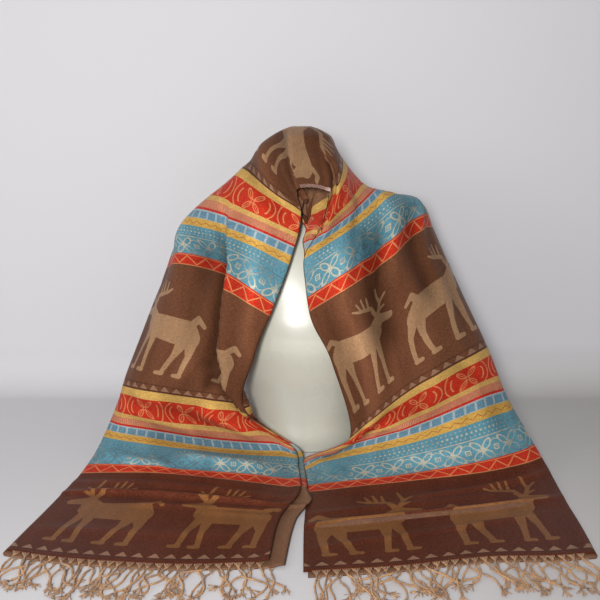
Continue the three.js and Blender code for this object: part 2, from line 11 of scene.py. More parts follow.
import bpy
import numpy as np
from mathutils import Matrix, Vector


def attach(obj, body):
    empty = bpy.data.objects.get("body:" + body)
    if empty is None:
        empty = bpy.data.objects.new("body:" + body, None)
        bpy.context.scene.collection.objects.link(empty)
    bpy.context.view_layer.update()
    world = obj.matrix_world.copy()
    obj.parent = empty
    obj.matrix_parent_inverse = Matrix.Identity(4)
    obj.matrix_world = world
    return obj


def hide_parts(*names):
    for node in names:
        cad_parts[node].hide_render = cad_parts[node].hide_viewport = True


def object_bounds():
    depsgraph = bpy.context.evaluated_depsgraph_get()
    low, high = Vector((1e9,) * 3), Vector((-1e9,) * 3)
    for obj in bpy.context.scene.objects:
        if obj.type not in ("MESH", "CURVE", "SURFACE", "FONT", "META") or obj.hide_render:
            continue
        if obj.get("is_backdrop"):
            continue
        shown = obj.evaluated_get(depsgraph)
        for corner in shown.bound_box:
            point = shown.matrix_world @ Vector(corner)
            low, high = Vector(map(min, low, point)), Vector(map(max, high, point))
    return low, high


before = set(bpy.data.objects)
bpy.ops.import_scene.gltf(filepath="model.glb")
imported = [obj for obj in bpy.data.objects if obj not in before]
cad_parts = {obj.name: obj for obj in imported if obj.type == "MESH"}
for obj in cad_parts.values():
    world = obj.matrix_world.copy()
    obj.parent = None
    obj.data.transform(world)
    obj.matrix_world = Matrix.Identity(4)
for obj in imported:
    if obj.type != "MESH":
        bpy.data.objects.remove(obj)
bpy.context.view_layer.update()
MM = 0.001

# %% [markdown]
# ## The camera
# The photograph is square and looks slightly down on the table from about chest height. The
# camera stands straight in front, so a plain turn about X is enough, and no shift is needed. Its
# lens is worked out from the focal length and the frame, both in pixels of the photograph.

# %% Camera
FOCAL_PIXELS, FRAME_PIXELS = 766, 600
FOCAL_SHARE = FOCAL_PIXELS / FRAME_PIXELS
SENSOR = 36
CAMERA_AT, CAMERA_TILT = (-0.010, -1.253, 0.573), 75
camera_data = bpy.data.cameras.new("photo_camera")
camera_data.sensor_width = SENSOR
camera_data.lens = SENSOR * FOCAL_SHARE
camera_data.clip_end = 20
camera = bpy.data.objects.new("photo_camera", camera_data)
camera.location = CAMERA_AT
camera.rotation_euler = (math.radians(CAMERA_TILT), 0, 0)
bpy.context.scene.collection.objects.link(camera)
bpy.context.scene.camera = camera
print("lens", round(camera_data.lens, 2), "mm")

# %% [markdown]
# ## The cut of the shawl
# Every place on the cloth has two names: the station, how far it is along the shawl from the
# middle of its length, and the place across, how far it is from the fold. Five ground bands and
# four stripe groups make up the length. The names and sizes are those of the measured model.

# %% Sizes of the cut
SHAWL_WIDTH = 700
GROUND_BAND = 205
STRIPE_GROUP = 195
FOLDED_WIDTH = SHAWL_WIDTH / 2
NECK_BAND_END = GROUND_BAND / 2
SHOULDER_BAND = NECK_BAND_END + STRIPE_GROUP
LOWER_STRIPES = SHOULDER_BAND + GROUND_BAND
END_BAND = LOWER_STRIPES + STRIPE_GROUP
HEM = END_BAND + GROUND_BAND
CLOTH = 1.0
LAYER_STEP = 1.7
UNDER_ON_TABLE = CLOTH / 2
UPPER_ON_TABLE = UNDER_ON_TABLE + LAYER_STEP
print("cut", SHAWL_WIDTH, "by", 2 * HEM, "mm")

# %% [markdown]
# ## The drape
# A cloth simulation could drop the shawl on the form, but its folds would fall anew with every
# small change. This drape was arranged by hand, so we give it as a list too: a section of five
# points at each station, and smooth curves between them.

# %% Sections of the drape
# One row for each station: the folded edge, the back, the ridge, the front and the free edge.
# T is the height at which the upper layer lies on the table.
T = UPPER_ON_TABLE
SECTIONS = [
    (-HEM, (-389, -378, T), (-335, -391, T), (-265, -401, T), (-160, -409, T), (-49, -404, T)),
    (-800, (-371, -284, T), (-320, -285, T), (-260, -290, T), (-150, -300, T), (-38, -306, T)),
    (-END_BAND, (-350, -172, 4), (-310, -174, 6), (-260, -178, 7), (-140, -192, 5),
     (-8, -219, T + 2)),
    (-650, (-338, -128, 18), (-310, -138, 20), (-260, -145, 17), (-140, -151, 10),
     (-12, -162, 6)),
    (-600, (-327, -92, 42), (-309, -104, 43), (-264, -110, 38), (-152, -113, 22),
     (-17, -113, 13)),
    (-LOWER_STRIPES, (-301, -62, 110), (-300, -78, 113), (-287, -93, 116), (-174, -124, 110),
     (-98, -117, 97)),
    (-400, (-270, -2, 196), (-271, -21, 199), (-258, -47, 204), (-158, -112, 197),
     (-75, -132, 190)),
    (-SHOULDER_BAND, (-236, 42, 262), (-238, 14, 284), (-226, -22, 302), (-132, -88, 303),
     (-48, -121, 258)),
    (-210, (-190, 88, 290), (-206, 48, 348), (-198, -5, 371), (-112, -64, 363),
     (-22, -98, 330)),
    (-NECK_BAND_END, (-96, 110, 320), (-108, 60, 420), (-104, -2, 458), (-56, -62, 432),
     (-8, -86, 401)),
    (-45, (-46, 106, 342), (-58, 64, 444), (-57, 1, 508), (-36, -56, 476), (-14, -87, 433)),
    (0, (-10, 98, 352), (-16, 64, 460), (-18, 1, 524), (-7, -54, 490), (8, -88, 437)),
    (45, (34, 100, 342), (24, 66, 444), (24, 1, 512), (24, -56, 484), (31, -88, 432)),
    (NECK_BAND_END, (84, 108, 322), (66, 64, 410), (58, 0, 472), (48, -58, 450),
     (34, -86, 424)),
    (160, (130, 102, 312), (108, 56, 386), (97, -6, 431), (66, -66, 410), (22, -93, 378)),
    (215, (178, 92, 322), (158, 50, 392), (146, -4, 418), (76, -71, 377), (-4, -97, 330)),
    (256, (211, 72, 330), (198, 42, 391), (186, -4, 403), (90, -80, 349), (-2, -108, 292)),
    (SHOULDER_BAND, (222, 54, 318), (216, 32, 352), (203, -4, 363), (102, -92, 306),
     (4, -122, 251)),
    (400, (258, 10, 250), (257, -12, 260), (245, -39, 268), (130, -120, 218), (39, -133, 173)),
    (LOWER_STRIPES, (299, -42, 170), (296, -62, 174), (281, -84, 175), (161, -142, 130),
     (70, -117, 38)),
    (600, (328, -92, 96), (322, -108, 100), (300, -124, 101), (178, -137, 58), (-4, -136, 9)),
    (650, (349, -120, 58), (337, -135, 58), (306, -151, 54), (170, -166, 22), (-3, -184, 5)),
    (END_BAND, (371, -150, 20), (350, -163, 19), (308, -176, 15), (160, -203, 6),
     (-1, -229, T + 1)),
    (800, (374, -270, T), (330, -279, T), (260, -292, T), (120, -313, T), (-5, -331, T)),
    (HEM, (367, -384, T), (320, -390, T), (240, -392, T), (110, -413, T), (-6, -424, T)),
]
SECTION_KNOTS = np.array([row[0] for row in SECTIONS], float)
SECTION_RAILS = np.array([row[1:] for row in SECTIONS], float)
print("sections", SECTION_RAILS.shape)

# %% [markdown]
# ## Pleats, folds and the under layer
# A knife pleat is cloth that runs forward, turns back by a tuck and runs forward again. Soft
# folds are low waves along a line, and a crease is a sharp one that stands up from the table.
# They could be sculpted, but small tables are easier: a fold is moved by changing its row.

# %% Tables of pleats and folds
# station, place across where the pleat turns, its tuck, and its rise
PLEATS = np.array([
    (-545, 338, 0, 4), (-LOWER_STRIPES, 296, 32, 16), (-455, 262, 43, 20), (-400, 241, 44, 21),
    (-SHOULDER_BAND, 233, 27, 20), (-205, 226, 6, 8), (-150, 220, 0, 0), (25, 262, 0, 0),
    (60, 276, 13, -9), (NECK_BAND_END, 296, 20, -12), (145, 316, 16, -11), (185, 330, 0, -4),
    (230, 330, 0, 0),
])
PLEAT_BEND = 7
PLEAT_FADE = 110
PLEAT_SETTLE = 0.6
RIDGE_EASE = 0.18
# from station and place, to station and place, height, half width
FOLDS = [
    (-230, 172, -420, 150, -8, 20), (-120, 262, -290, 318, 6, 22),
    (-130, 140, -250, 90, 3, 26), (-40, 118, -190, 60, -7, 26),
    (235, 150, 400, 132, -9, 20), (240, 222, 420, 238, -12, 26),
    (250, 280, 520, 296, 9, 26), (520, 250, 600, 322, -9, 22),
    (-560, 300, -520, 210, 8, 20), (-585, 60, -600, 300, -5, 17),
    (-640, 150, -655, 290, 9, 18), (-655, 20, -668, 130, 6, 16), (640, 210, 660, 60, 5, 18),
]
CREASES = [
    (-722, 20, -730, 320, 3, 8), (-750, 20, -755, 330, 8, 5), (-842, 30, -838, 300, 2.2, 11),
    (722, 15, 742, 200, 4.5, 7), (778, 30, 788, 335, 6.5, 5.5),
]
# station, and how far the under layer's free edge lies to the right, up, and below the upper's
UNDER_EDGE = np.array([
    (-HEM, 20, 0, 0), (-800, 22, 0, 0), (-740, 24, 0, 0), (-END_BAND, 9, 0, 0),
    (-600, 10, 0, 2), (-540, -4, 0, 5), (-LOWER_STRIPES, -4, 0, 9), (-400, -5, 0, 6),
    (-SHOULDER_BAND, -12, 0, 5), (-NECK_BAND_END, -4, 0, 7), (-45, 6, -16, 10),
    (0, -10, -38, 9), (45, -26, -50, 9), (NECK_BAND_END, -32, -38, 8), (160, -20, -16, 7),
    (215, 2, 0, 6), (SHOULDER_BAND, 10, 0, 5), (LOWER_STRIPES, 6, 0, 4), (600, 4, 0, 2),
    (END_BAND, 6, 0, 0), (HEM, 6, 0, 0),
])
UNDER_EDGE_REACH = 120
UNDER_SMOOTH_REACH = 60
UNDER_HEM_PAST = 9
print(len(FOLDS), "soft folds,", len(CREASES), "creases")

# %% [markdown]
# Finer folds come from handling: ripples beside the neck, the press line down the middle of the
# neck band, drag lines that run down from the shoulders, and low ridges on the lying ends.

# %% Finer folds
FINE_FOLDS = [
    (-8, 226, -43, 345, 4, 5), (-20, 226, -57, 343, -6, 8), (-30, 225, -92, 335, -4, 12),
    (-62, 215, -112, 322, 4.5, 9), (-84, 190, -140, 318, -5, 9), (28, 200, 40, 340, -2.5, 12),
    (-215, 212, -300, 196, -9, 12), (-300, 196, -430, 186, -10, 12),
    (-430, 186, -485, 216, -8, 11), (-240, 264, -440, 322, -4, 10),
    (-235, 296, -410, 342, 6, 13),
    (-215, 128, -345, 104, 3, 14), (-330, 160, -480, 152, 5, 14), (-250, 40, -470, 34, -3, 14),
    (-220, 86, -330, 66, -4, 13), (-150, 200, -235, 222, 4, 11),
    (190, 190, 330, 186, 4.5, 13), (150, 240, 300, 268, -5, 11), (262, 96, 470, 78, -4, 15),
    (200, 120, 300, 110, 3, 11), (300, 318, 500, 326, -5, 12), (430, 170, 560, 150, 3, 16),
    (232, 238, 335, 228, -9, 8), (330, 262, 470, 250, -5, 11), (300, 292, 470, 288, 5, 12),
    (-690, 60, -712, 300, 2.6, 8), (-778, 130, -770, 330, 3, 5), (690, 90, 702, 300, 2.4, 9),
    (560, 60, 640, 40, -3, 16), (752, 90, 758, 330, 2.5, 6), (812, 60, 846, 330, 2.5, 6),
    (-520, 120, -560, 260, -4.5, 13), (-545, 40, -568, 170, 4, 12), (-510, 60, -530, 190, 4, 9),
    (500, 120, 560, 60, -4, 11), (520, 300, 590, 180, 4, 12),
    (-775, 120, -790, 330, 1.8, 7), (110, 60, 230, 30, -4, 16), (-90, 30, -200, 20, -3, 16),
]
print(len(FINE_FOLDS), "finer folds")

# %% [markdown]
# Cloth hidden inside a pleat carries its share of the pattern, so the drawing jumps where the
# pleat ends. These tables say where the pattern jumps, or drifts slowly, and how far it moves
# across and along the cloth.

# %% Jumps of the pattern
# station, reach along, move across, move along, on the far side of the pleat
PLEAT_JUMPS = [(-400, 150, 16, 27)]
# from station and place, to station and place, softness, reach, move across, move along
PATTERN_JUMPS = [(-36, 318, -1, 190, 5, 95, 46, 6)]
# station, place, reach along, reach across, move across, move along
PATTERN_DRIFTS = [
    (440, 180, 75, 140, -48, 0), (20, 270, 60, 70, 8, 16),
    (-560, 352, 55, 14, 0, 42), (585, 352, 50, 20, 0, -40), (-490, 330, 40, 40, 0, 14),
]
print(len(PLEAT_JUMPS) + len(PATTERN_JUMPS), "jumps,", len(PATTERN_DRIFTS), "drifts")

# %% [markdown]
# ## From the tables to a surface
# A smooth curve runs along each rail, and another one across from rail to rail. Blender's own
# curves could do this, but NumPy works on every point of the cloth at once and lets us ask for
# the point at any station and place.

# %% Curves and eases
def smooth(t):
    """An ease that goes from 0 to 1 with level ends."""
    c = np.clip(t, 0, 1)
    return c * c * (3 - 2 * c)


def unit(v):
    """Vectors of the same direction and of length one."""
    return v / np.maximum(np.linalg.norm(v, axis=-1, keepdims=True), 1e-9)


def curve_through(knots, values, x):
    """Cubic through values (n, k, d) at knots (n, k), read at x (n)."""
    steps = np.diff(knots, axis=1)
    chords = np.diff(values, axis=1) / steps[..., None]
    slopes = np.empty_like(values)
    slopes[:, 0], slopes[:, -1] = chords[:, 0], chords[:, -1]
    before, after = steps[:, :-1, None], steps[:, 1:, None]
    slopes[:, 1:-1] = (chords[:, :-1] * after + chords[:, 1:] * before) / (before + after)
    i = np.clip((x[:, None] > knots[:, 1:-1]).sum(axis=1), 0, knots.shape[1] - 2)
    n = np.arange(len(x))
    h = steps[n, i][:, None]
    t = (x - knots[n, i])[:, None] / h
    a, b = slopes[n, i] * h, slopes[n, i + 1] * h
    rise = values[n, i + 1] - values[n, i]
    return values[n, i] + t * (a + t * (3 * rise - 2 * a - b + t * (a + b - 2 * rise)))


def column(table, index, s):
    """One column of a table keyed by station, eased between its rows."""
    keys = table[:, 0]
    i = np.clip(np.searchsorted(keys, s) - 1, 0, len(keys) - 2)
    t = smooth((s - keys[i]) / (keys[i + 1] - keys[i]))
    return table[i, index] * (1 - t) + table[i + 1, index] * t


print("half way ease", float(smooth(0.5)))

# %% [markdown]
# The pleat is a rule too. From the place across the flat cloth it works out how far that place
# has come on the folded cloth, and how high it lies on the layers below.

# %% Section, pleat and fold heights
def section_at(s):
    """The five rail points of each station, and their distances from the fold."""
    near = np.clip(np.searchsorted(SECTION_KNOTS, s) - 2, 0, len(SECTION_KNOTS) - 4)
    pick = near[:, None] + np.arange(4)
    knots = SECTION_KNOTS[pick]
    rails = SECTION_RAILS[pick].reshape(len(s), 4, 15)
    points = curve_through(knots, rails, s).reshape(-1, 5, 3)
    chords = np.linalg.norm(np.diff(points, axis=1), axis=2)
    reach = np.concatenate([np.zeros((len(s), 1)), np.cumsum(chords, axis=1)], axis=1)
    return points, reach


def past_bend(x):
    """How far x is past a bend, with a soft start instead of a corner."""
    t = np.clip((x + PLEAT_BEND) / (2 * PLEAT_BEND), 0, 1)
    return 2 * PLEAT_BEND * t ** 3 * (1 - t / 2) + np.maximum(0, x - PLEAT_BEND)


def pleat_at(s, w):
    """Place on the folded cloth, height over it, and the folded cloth's width."""
    turn, tuck, rise = (column(PLEATS, k, s) for k in (1, 2, 3))
    folded = lambda x: 2 * (past_bend(x - turn) - past_bend(x - turn - tuck))
    bend = lambda x: smooth((x + PLEAT_BEND) / (2 * PLEAT_BEND))
    turned = (bend(w - turn) + bend(w - turn - tuck)) / 2
    beyond = smooth((w - turn - tuck - PLEAT_BEND) / PLEAT_FADE)
    before = smooth((turn - PLEAT_BEND - w) / PLEAT_FADE)
    height = np.where(rise > 0, rise * turned * (1 - PLEAT_SETTLE * beyond),
                      -rise * (1 - turned) * (1 - before))
    return w - folded(w), height, FOLDED_WIDTH - folded(np.full_like(w, FOLDED_WIDTH))


def beside_line(s, w, s0, w0, s1, w1):
    """Share of the way along a line on the cloth, and the distance beside it."""
    length = math.hypot(s1 - s0, w1 - w0)
    share = ((s - s0) * (s1 - s0) + (w - w0) * (w1 - w0)) / length ** 2
    return share, ((s - s0) * (w1 - w0) - (w - w0) * (s1 - s0)) / length


def ridge_heights(rows, s, w):
    """Height of all the ridges and valleys of a table, each a bell across its line."""
    total = np.zeros_like(s)
    for s0, w0, s1, w1, height, half in rows:
        share, off = beside_line(s, w, s0, w0, s1, w1)
        ends = smooth((share + RIDGE_EASE) / (2 * RIDGE_EASE))
        ends *= smooth((1 + RIDGE_EASE - share) / (2 * RIDGE_EASE))
        total += height * np.exp(-(off / half) ** 2) * ends
    return total


print("widest tuck", PLEATS[:, 2].max(), "mm")

# %% [markdown]
# ## The dress form's outline
# The form is a stack of rounded outlines, like the slices of a cast. The same numbers keep the
# cloth off the form and build the form itself further down, so the two always agree.

# %% The form's levels
FORM_ROUNDNESS = 2.25
FORM_TOP = 516.4
FORM_APEX = 520.3
FORM_CLEARANCE = 5.5
AXIS_LOW, AXIS_LENGTH = 25, 455
PUSH, PUSHES = 0.4, 150
# level, half width, reach to the front, reach to the back
FORM_LEVELS = np.array([
    (0, 98, 92, 76), (14, 101, 95, 79), (50, 101, 95, 80), (95, 110, 102, 86),
    (140, 124, 114, 91), (185, 137, 122, 95), (225, 146, 118, 97), (265, 156, 104, 97),
    (305, 172, 88, 93), (335, 182, 75, 85), (358, 176, 64, 74), (376, 148, 55, 64),
    (392, 108, 49, 57), (408, 76, 46, 52), (430, 51, 43, 46), (460, 42, 41, 42),
    (484, 40, 40, 40), (497, 36.5, 36.5, 36.5), (507, 29.5, 29.5, 29.5), (513, 19, 19, 19),
    (515.4, 14.2, 14.2, 14.2), (517.2, 9.5, 9.5, 9.5), (518.8, 4.8, 4.8, 4.8),
], float)


def form_level(z):
    """Half width, reach to the front and reach to the back at each height."""
    n = len(z)
    knots = np.broadcast_to(FORM_LEVELS[:, 0], (n, len(FORM_LEVELS)))
    values = np.broadcast_to(FORM_LEVELS[:, 1:], (n, len(FORM_LEVELS), 3))
    return curve_through(knots, values, z)


def in_form(p, clearance):
    """Which points are inside the form, or nearer to it than the clearance."""
    level = form_level(np.clip(p[:, 2] - clearance / 2, 0, FORM_LEVELS[-1, 0]))
    deep = np.where(p[:, 1] < 0, level[:, 1], level[:, 2]) + clearance
    across = np.abs(p[:, 0]) / (level[:, 0] + clearance)
    value = across ** FORM_ROUNDNESS + (np.abs(p[:, 1]) / deep) ** FORM_ROUNDNESS
    return (value < 1) & (p[:, 2] <= FORM_TOP + clearance)


def clear_of_form(p, clearance):
    """Move points out of the form in small steps, away from its upright axis."""
    lift = p[:, 2] - np.minimum(p[:, 2] - AXIS_LOW, AXIS_LENGTH)
    away = unit(np.stack([p[:, 0] / 2, p[:, 1], lift], axis=1))
    inside = in_form(p, clearance)
    for _ in range(PUSHES):
        if not inside.any():
            break
        p[inside] += PUSH * away[inside]
        inside[inside] = in_form(p[inside], clearance)
    return p


print("form", FORM_LEVELS[:, 1].max() * 2, "mm wide")

# %% [markdown]
# ## The two layers
# The upper layer is the base surface with its pleats and folds raised along the normal. The
# under layer follows it just below, and goes its own way only near its free edge, where it
# peeks out beside the upper one. Where the shawl is doubled the fold is a tight round bend.

# %% Points of the two layers
BASE_STEP, SURFACE_STEP = 3, 1.5


def base_point(s, across, width):
    """A point of the smooth drape, before its pleats and folds."""
    points, reach = section_at(s)
    p = curve_through(reach, points, across / width * reach[:, -1])
    p[:, 2] = np.maximum(p[:, 2], UPPER_ON_TABLE)
    return p


def normal_of(surface, s, w, top, step):
    """The way a surface faces, from its points a small step to each side."""
    s0, s1 = np.clip(s - step, -HEM, HEM), np.clip(s + step, -HEM, HEM)
    w0, w1 = np.clip(w - step, 0, top), np.clip(w + step, 0, top)
    return unit(np.cross(surface(s, w1) - surface(s, w0), surface(s1, w) - surface(s0, w)))


def upper_point(s, w, fine_share=1):
    """A point of the upper layer, with its pleats, folds and creases."""
    across, height, width = pleat_at(s, w)
    base = base_point(s, across, width)
    normal = normal_of(lambda a, b: base_point(a, b, width), s, np.clip(across, 0, width),
                       width, BASE_STEP)
    fine = ridge_heights(FINE_FOLDS, s, w)
    base += normal * (height + ridge_heights(FOLDS, s, w) + fine * fine_share)[:, None]
    creases = np.maximum(0, ridge_heights(CREASES, s, w))
    base[:, 2] = np.maximum(base[:, 2], UPPER_ON_TABLE) + creases
    return clear_of_form(base, FORM_CLEARANCE + LAYER_STEP)


def under_point(s, w):
    """A point of the under layer, which follows the upper one except near its free edge."""
    near = smooth((w - FOLDED_WIDTH + UNDER_EDGE_REACH) / UNDER_EDGE_REACH) ** 1.5
    right, up, below = (column(UNDER_EDGE, k, s) for k in (1, 2, 3))
    p = upper_point(s, w, 1 - smooth((np.abs(s) - END_BAND) / UNDER_SMOOTH_REACH + 1))
    normal = normal_of(upper_point, s, w, FOLDED_WIDTH, SURFACE_STEP)
    p -= normal * (LAYER_STEP + below * near)[:, None]
    p[:, 0] += right * near
    p[:, 1] -= UNDER_HEM_PAST * smooth((np.abs(s) - END_BAND) / GROUND_BAND)
    p[:, 2] = np.maximum(p[:, 2] + up * near, UNDER_ON_TABLE)
    return clear_of_form(p, FORM_CLEARANCE)


probe = upper_point(np.array([0.0, 400.0]), np.array([200.0, 175.0]))
print("probe points", probe.round(1).tolist())

# %% [markdown]
# The cloth is a grid of stations and places. The lying ends get more stations, because their
# creases are narrow. A subdivided coarse grid would be lighter, but it would melt them away.

# %% The grid of the cloth
STATIONS = 410
PLACES = 56
BEND_PLACES = 3
CREASED_AT, CREASED_REACH, CREASED_EXTRA = 765, 45, 1.2
fine_s = np.linspace(-HEM, HEM, 4001)
density = 1 + CREASED_EXTRA * np.exp(-((np.abs(fine_s) - CREASED_AT) / CREASED_REACH) ** 2)
filled = np.cumsum(density) - density[0]
stations = np.interp(np.linspace(0, filled[-1], STATIONS), filled, fine_s)
places = np.linspace(0, FOLDED_WIDTH, PLACES)
grid_s, grid_w = np.meshgrid(stations, places, indexing="ij")
shape = grid_s.shape + (3,)
upper = upper_point(grid_s.ravel(), grid_w.ravel()).reshape(shape)
under = under_point(grid_s.ravel(), grid_w.ravel()).reshape(shape)
inner, outer = under[:, 0], upper[:, 0]
middle = (inner + outer) / 2
outward = unit(middle - (upper[:, 1] + under[:, 1]) / 2)
arm = outer - middle
radius = np.linalg.norm(arm, axis=1, keepdims=True)
bends = []
for i in range(1, BEND_PLACES + 1):
    turn = math.pi * i / (BEND_PLACES + 1)
    bends.append(middle - arm * math.cos(turn) + outward * radius * math.sin(turn))
cloth = np.concatenate([under[:, ::-1], np.stack(bends, axis=1), upper], axis=1)
print("cloth grid", cloth.shape)

# %% [markdown]
# The grid becomes a closed wall of one millimetre, with a face side, a reverse side and thin
# rims. A Solidify modifier could do this, but our own rims let the two sides of the cloth keep
# their own materials and an exact place in the weave.

# %% Closed wall
WALL_HALF = CLOTH / 2
CLEAR_OF_TABLE = 0.02


def wall_faces(rows, width):
    """Quads of a closed wall: face side, reverse side, two long rims and two end rims."""
    at = lambda side, i, j: side * rows * width + i * width + j
    i, j = np.meshgrid(np.arange(rows - 1), np.arange(width - 1), indexing="ij")
    i, j = i.ravel(), j.ravel()
    top = np.stack([at(0, i, j), at(0, i, j + 1), at(0, i + 1, j + 1), at(0, i + 1, j)], 1)
    low = np.stack([at(1, i, j), at(1, i + 1, j), at(1, i + 1, j + 1), at(1, i, j + 1)], 1)
    i, j, w, r = np.arange(rows - 1), np.arange(width - 1), width - 1, rows - 1
    rims = [
        np.stack([at(0, i, 0), at(0, i + 1, 0), at(1, i + 1, 0), at(1, i, 0)], 1),
        np.stack([at(0, i, w), at(1, i, w), at(1, i + 1, w), at(0, i + 1, w)], 1),
        np.stack([at(0, 0, j), at(1, 0, j), at(1, 0, j + 1), at(0, 0, j + 1)], 1),
        np.stack([at(0, r, j), at(0, r, j + 1), at(1, r, j + 1), at(1, r, j)], 1),
    ]
    return top, low, np.concatenate(rims)


def mesh_piece(name, points, faces):
    """A smooth piece from an array of points and a list of faces."""
    data = bpy.data.meshes.new(name)
    data.from_pydata(points.tolist(), [], faces)
    data.polygons.foreach_set("use_smooth", [True] * len(data.polygons))
    piece = bpy.data.objects.new(name, data)
    bpy.context.scene.collection.objects.link(piece)
    return piece


along = np.gradient(cloth, axis=0)
across = np.empty_like(cloth)
steps = unit(np.diff(cloth, axis=1))
across[:, 1:-1] = steps[:, 1:] + steps[:, :-1]
across[:, 0], across[:, -1] = steps[:, 0], steps[:, -1]
wall_normal = unit(np.cross(across, along))
walls = np.stack([cloth + wall_normal * WALL_HALF, cloth - wall_normal * WALL_HALF])
walls[..., 2] = np.maximum(walls[..., 2], CLEAR_OF_TABLE)
face_quads, reverse_quads, rim_quads = wall_faces(*cloth.shape[:2])
quads = np.concatenate([face_quads, rim_quads, reverse_quads])
shawl = mesh_piece("shawl_cloth", walls.reshape(-1, 3) * MM, quads.tolist())
print(len(quads) * 2, "triangles in the cloth")

# %% [markdown]
# ## The weave map
# Each point keeps its place in the weave: how far it lies from the under layer's selvage, and
# how far from the left hem, in metres. The pattern is drawn on these two numbers, so it bends
# with the cloth as a woven pattern does. An automatic unwrap would stretch it. A point also keeps
# a painted shading: painted shade down in a fold, beside a pleat and over the neck band, and a
# painted highlight along a ridge or crease.

# %% Weave map
PATTERN_SETTLE = 110
JUMP_FADE, JUMP_ENDS = 0.7, 0.3
# Painted shading: how much ridges and creases are lightened, and pleat hollows and the neck band
# darkened.
RIDGE_PAINTED_LIGHT, CREASE_PAINTED_LIGHT, HOLLOW_PAINTED_SHADE, NECK_PAINTED_SHADE = 0.052, 1.6, 0.55, 0.2
HOLLOW_REACH, HOLLOW_SOFT, DEEP_TUCK, NECK_REACH = 11, 6, 25, 75
DARKEST, BRIGHTEST = 0.4, 1.5


def pattern_moves(s, w):
    """How far the pattern is moved across and along at each point of the upper layer."""
    moves = np.zeros(s.shape + (2,))
    turn, tuck = (column(PLEATS, k, s.ravel()).reshape(s.shape) for k in (1, 2))
    beyond_pleat = smooth((w - turn) / (1.5 * tuck + 3) + 0.5)
    for s0, along_reach, over, along in PLEAT_JUMPS:
        share = beyond_pleat * np.exp(-((s - s0) / along_reach) ** 2)
        moves += share[..., None] * [over, along]
    for s0, w0, s1, w1, soft, reach, over, along in PATTERN_JUMPS:
        t, off = beside_line(s, w, s0, w0, s1, w1)
        share = smooth(off / soft + 0.5) * smooth((reach - off) / reach / JUMP_FADE)
        share *= smooth((t + JUMP_ENDS) / JUMP_ENDS)
        share *= smooth((1 + JUMP_ENDS - t) / JUMP_ENDS)
        moves += share[..., None] * [over, along]
    for s0, w0, along_reach, across_reach, over, along in PATTERN_DRIFTS:
        share = np.exp(-((s - s0) / along_reach) ** 2 - ((w - w0) / across_reach) ** 2)
        moves += share[..., None] * [over, along]
    return moves * smooth(w / PATTERN_SETTLE)[..., None]


def painted_fold_shading(s, w):
    """Painted shading: under 1 in a fold, by a pleat and on the neck band, over 1 on a ridge."""
    relief = ridge_heights(FOLDS, s, w) + ridge_heights(FINE_FOLDS, s, w)
    relief += CREASE_PAINTED_LIGHT * ridge_heights(CREASES, s, w)
    turn, tuck, rise = (column(PLEATS, k, s.ravel()).reshape(s.shape) for k in (1, 2, 3))
    beside = np.where(rise > 0, turn - tuck - w, w - turn - 2 * tuck)
    painted_pleat_shadow = np.exp(-np.maximum(beside, 0) / HOLLOW_REACH) * smooth(beside / HOLLOW_SOFT + 1)
    painted_pleat_shadow *= smooth(tuck / DEEP_TUCK)
    at_neck = np.exp(-(s / NECK_REACH) ** 2)
    tone = 1 + RIDGE_PAINTED_LIGHT * relief - HOLLOW_PAINTED_SHADE * painted_pleat_shadow - NECK_PAINTED_SHADE * at_neck
    return np.clip(tone, DARKEST, BRIGHTEST)


def keep_on_points(name, values):
    """Store one number for each grid point on both sides of the cloth."""
    attribute = shawl.data.attributes.new(name, "FLOAT", "POINT")
    attribute.data.foreach_set("value", np.tile(values.ravel(), 2))


from_selvage = FOLDED_WIDTH + np.concatenate([-places[::-1], np.zeros(BEND_PLACES), places])
from_hem = stations + HEM
weave = np.stack(np.meshgrid(from_selvage, from_hem), axis=-1)
weave[:, -PLACES:] += pattern_moves(grid_s, grid_w)
weave = weave * MM
weave_points = np.concatenate([weave.reshape(-1, 2)] * 2)
weave_map = shawl.data.uv_layers.new(name="weave")
weave_map.data.foreach_set("uv", weave_points[quads.ravel()].ravel())
to_selvage = SHAWL_WIDTH / 2 - np.abs(from_selvage - SHAWL_WIDTH / 2)
keep_on_points("edge_distance", np.tile(to_selvage, (STATIONS, 1)))
# The painted shade and painted highlight of the folds, kept on every point of the upper layer.
painted_shading_in_folds = np.ones(cloth.shape[:2])
painted_shading_in_folds[:, -PLACES:] = painted_fold_shading(grid_s, grid_w)
keep_on_points("painted_fold_shading", painted_shading_in_folds)
print("weave map reaches", weave_points.max(axis=0).round(3).tolist(), "m")

# %% [markdown]
# ## Arithmetic on node sockets
# The woven pattern is a drawing made of distances: to a line, a ring, a petal. A picture would be
# quicker, but it blurs close up. A small class lets us write the distances as plain arithmetic,
# and each operation becomes one Math node.

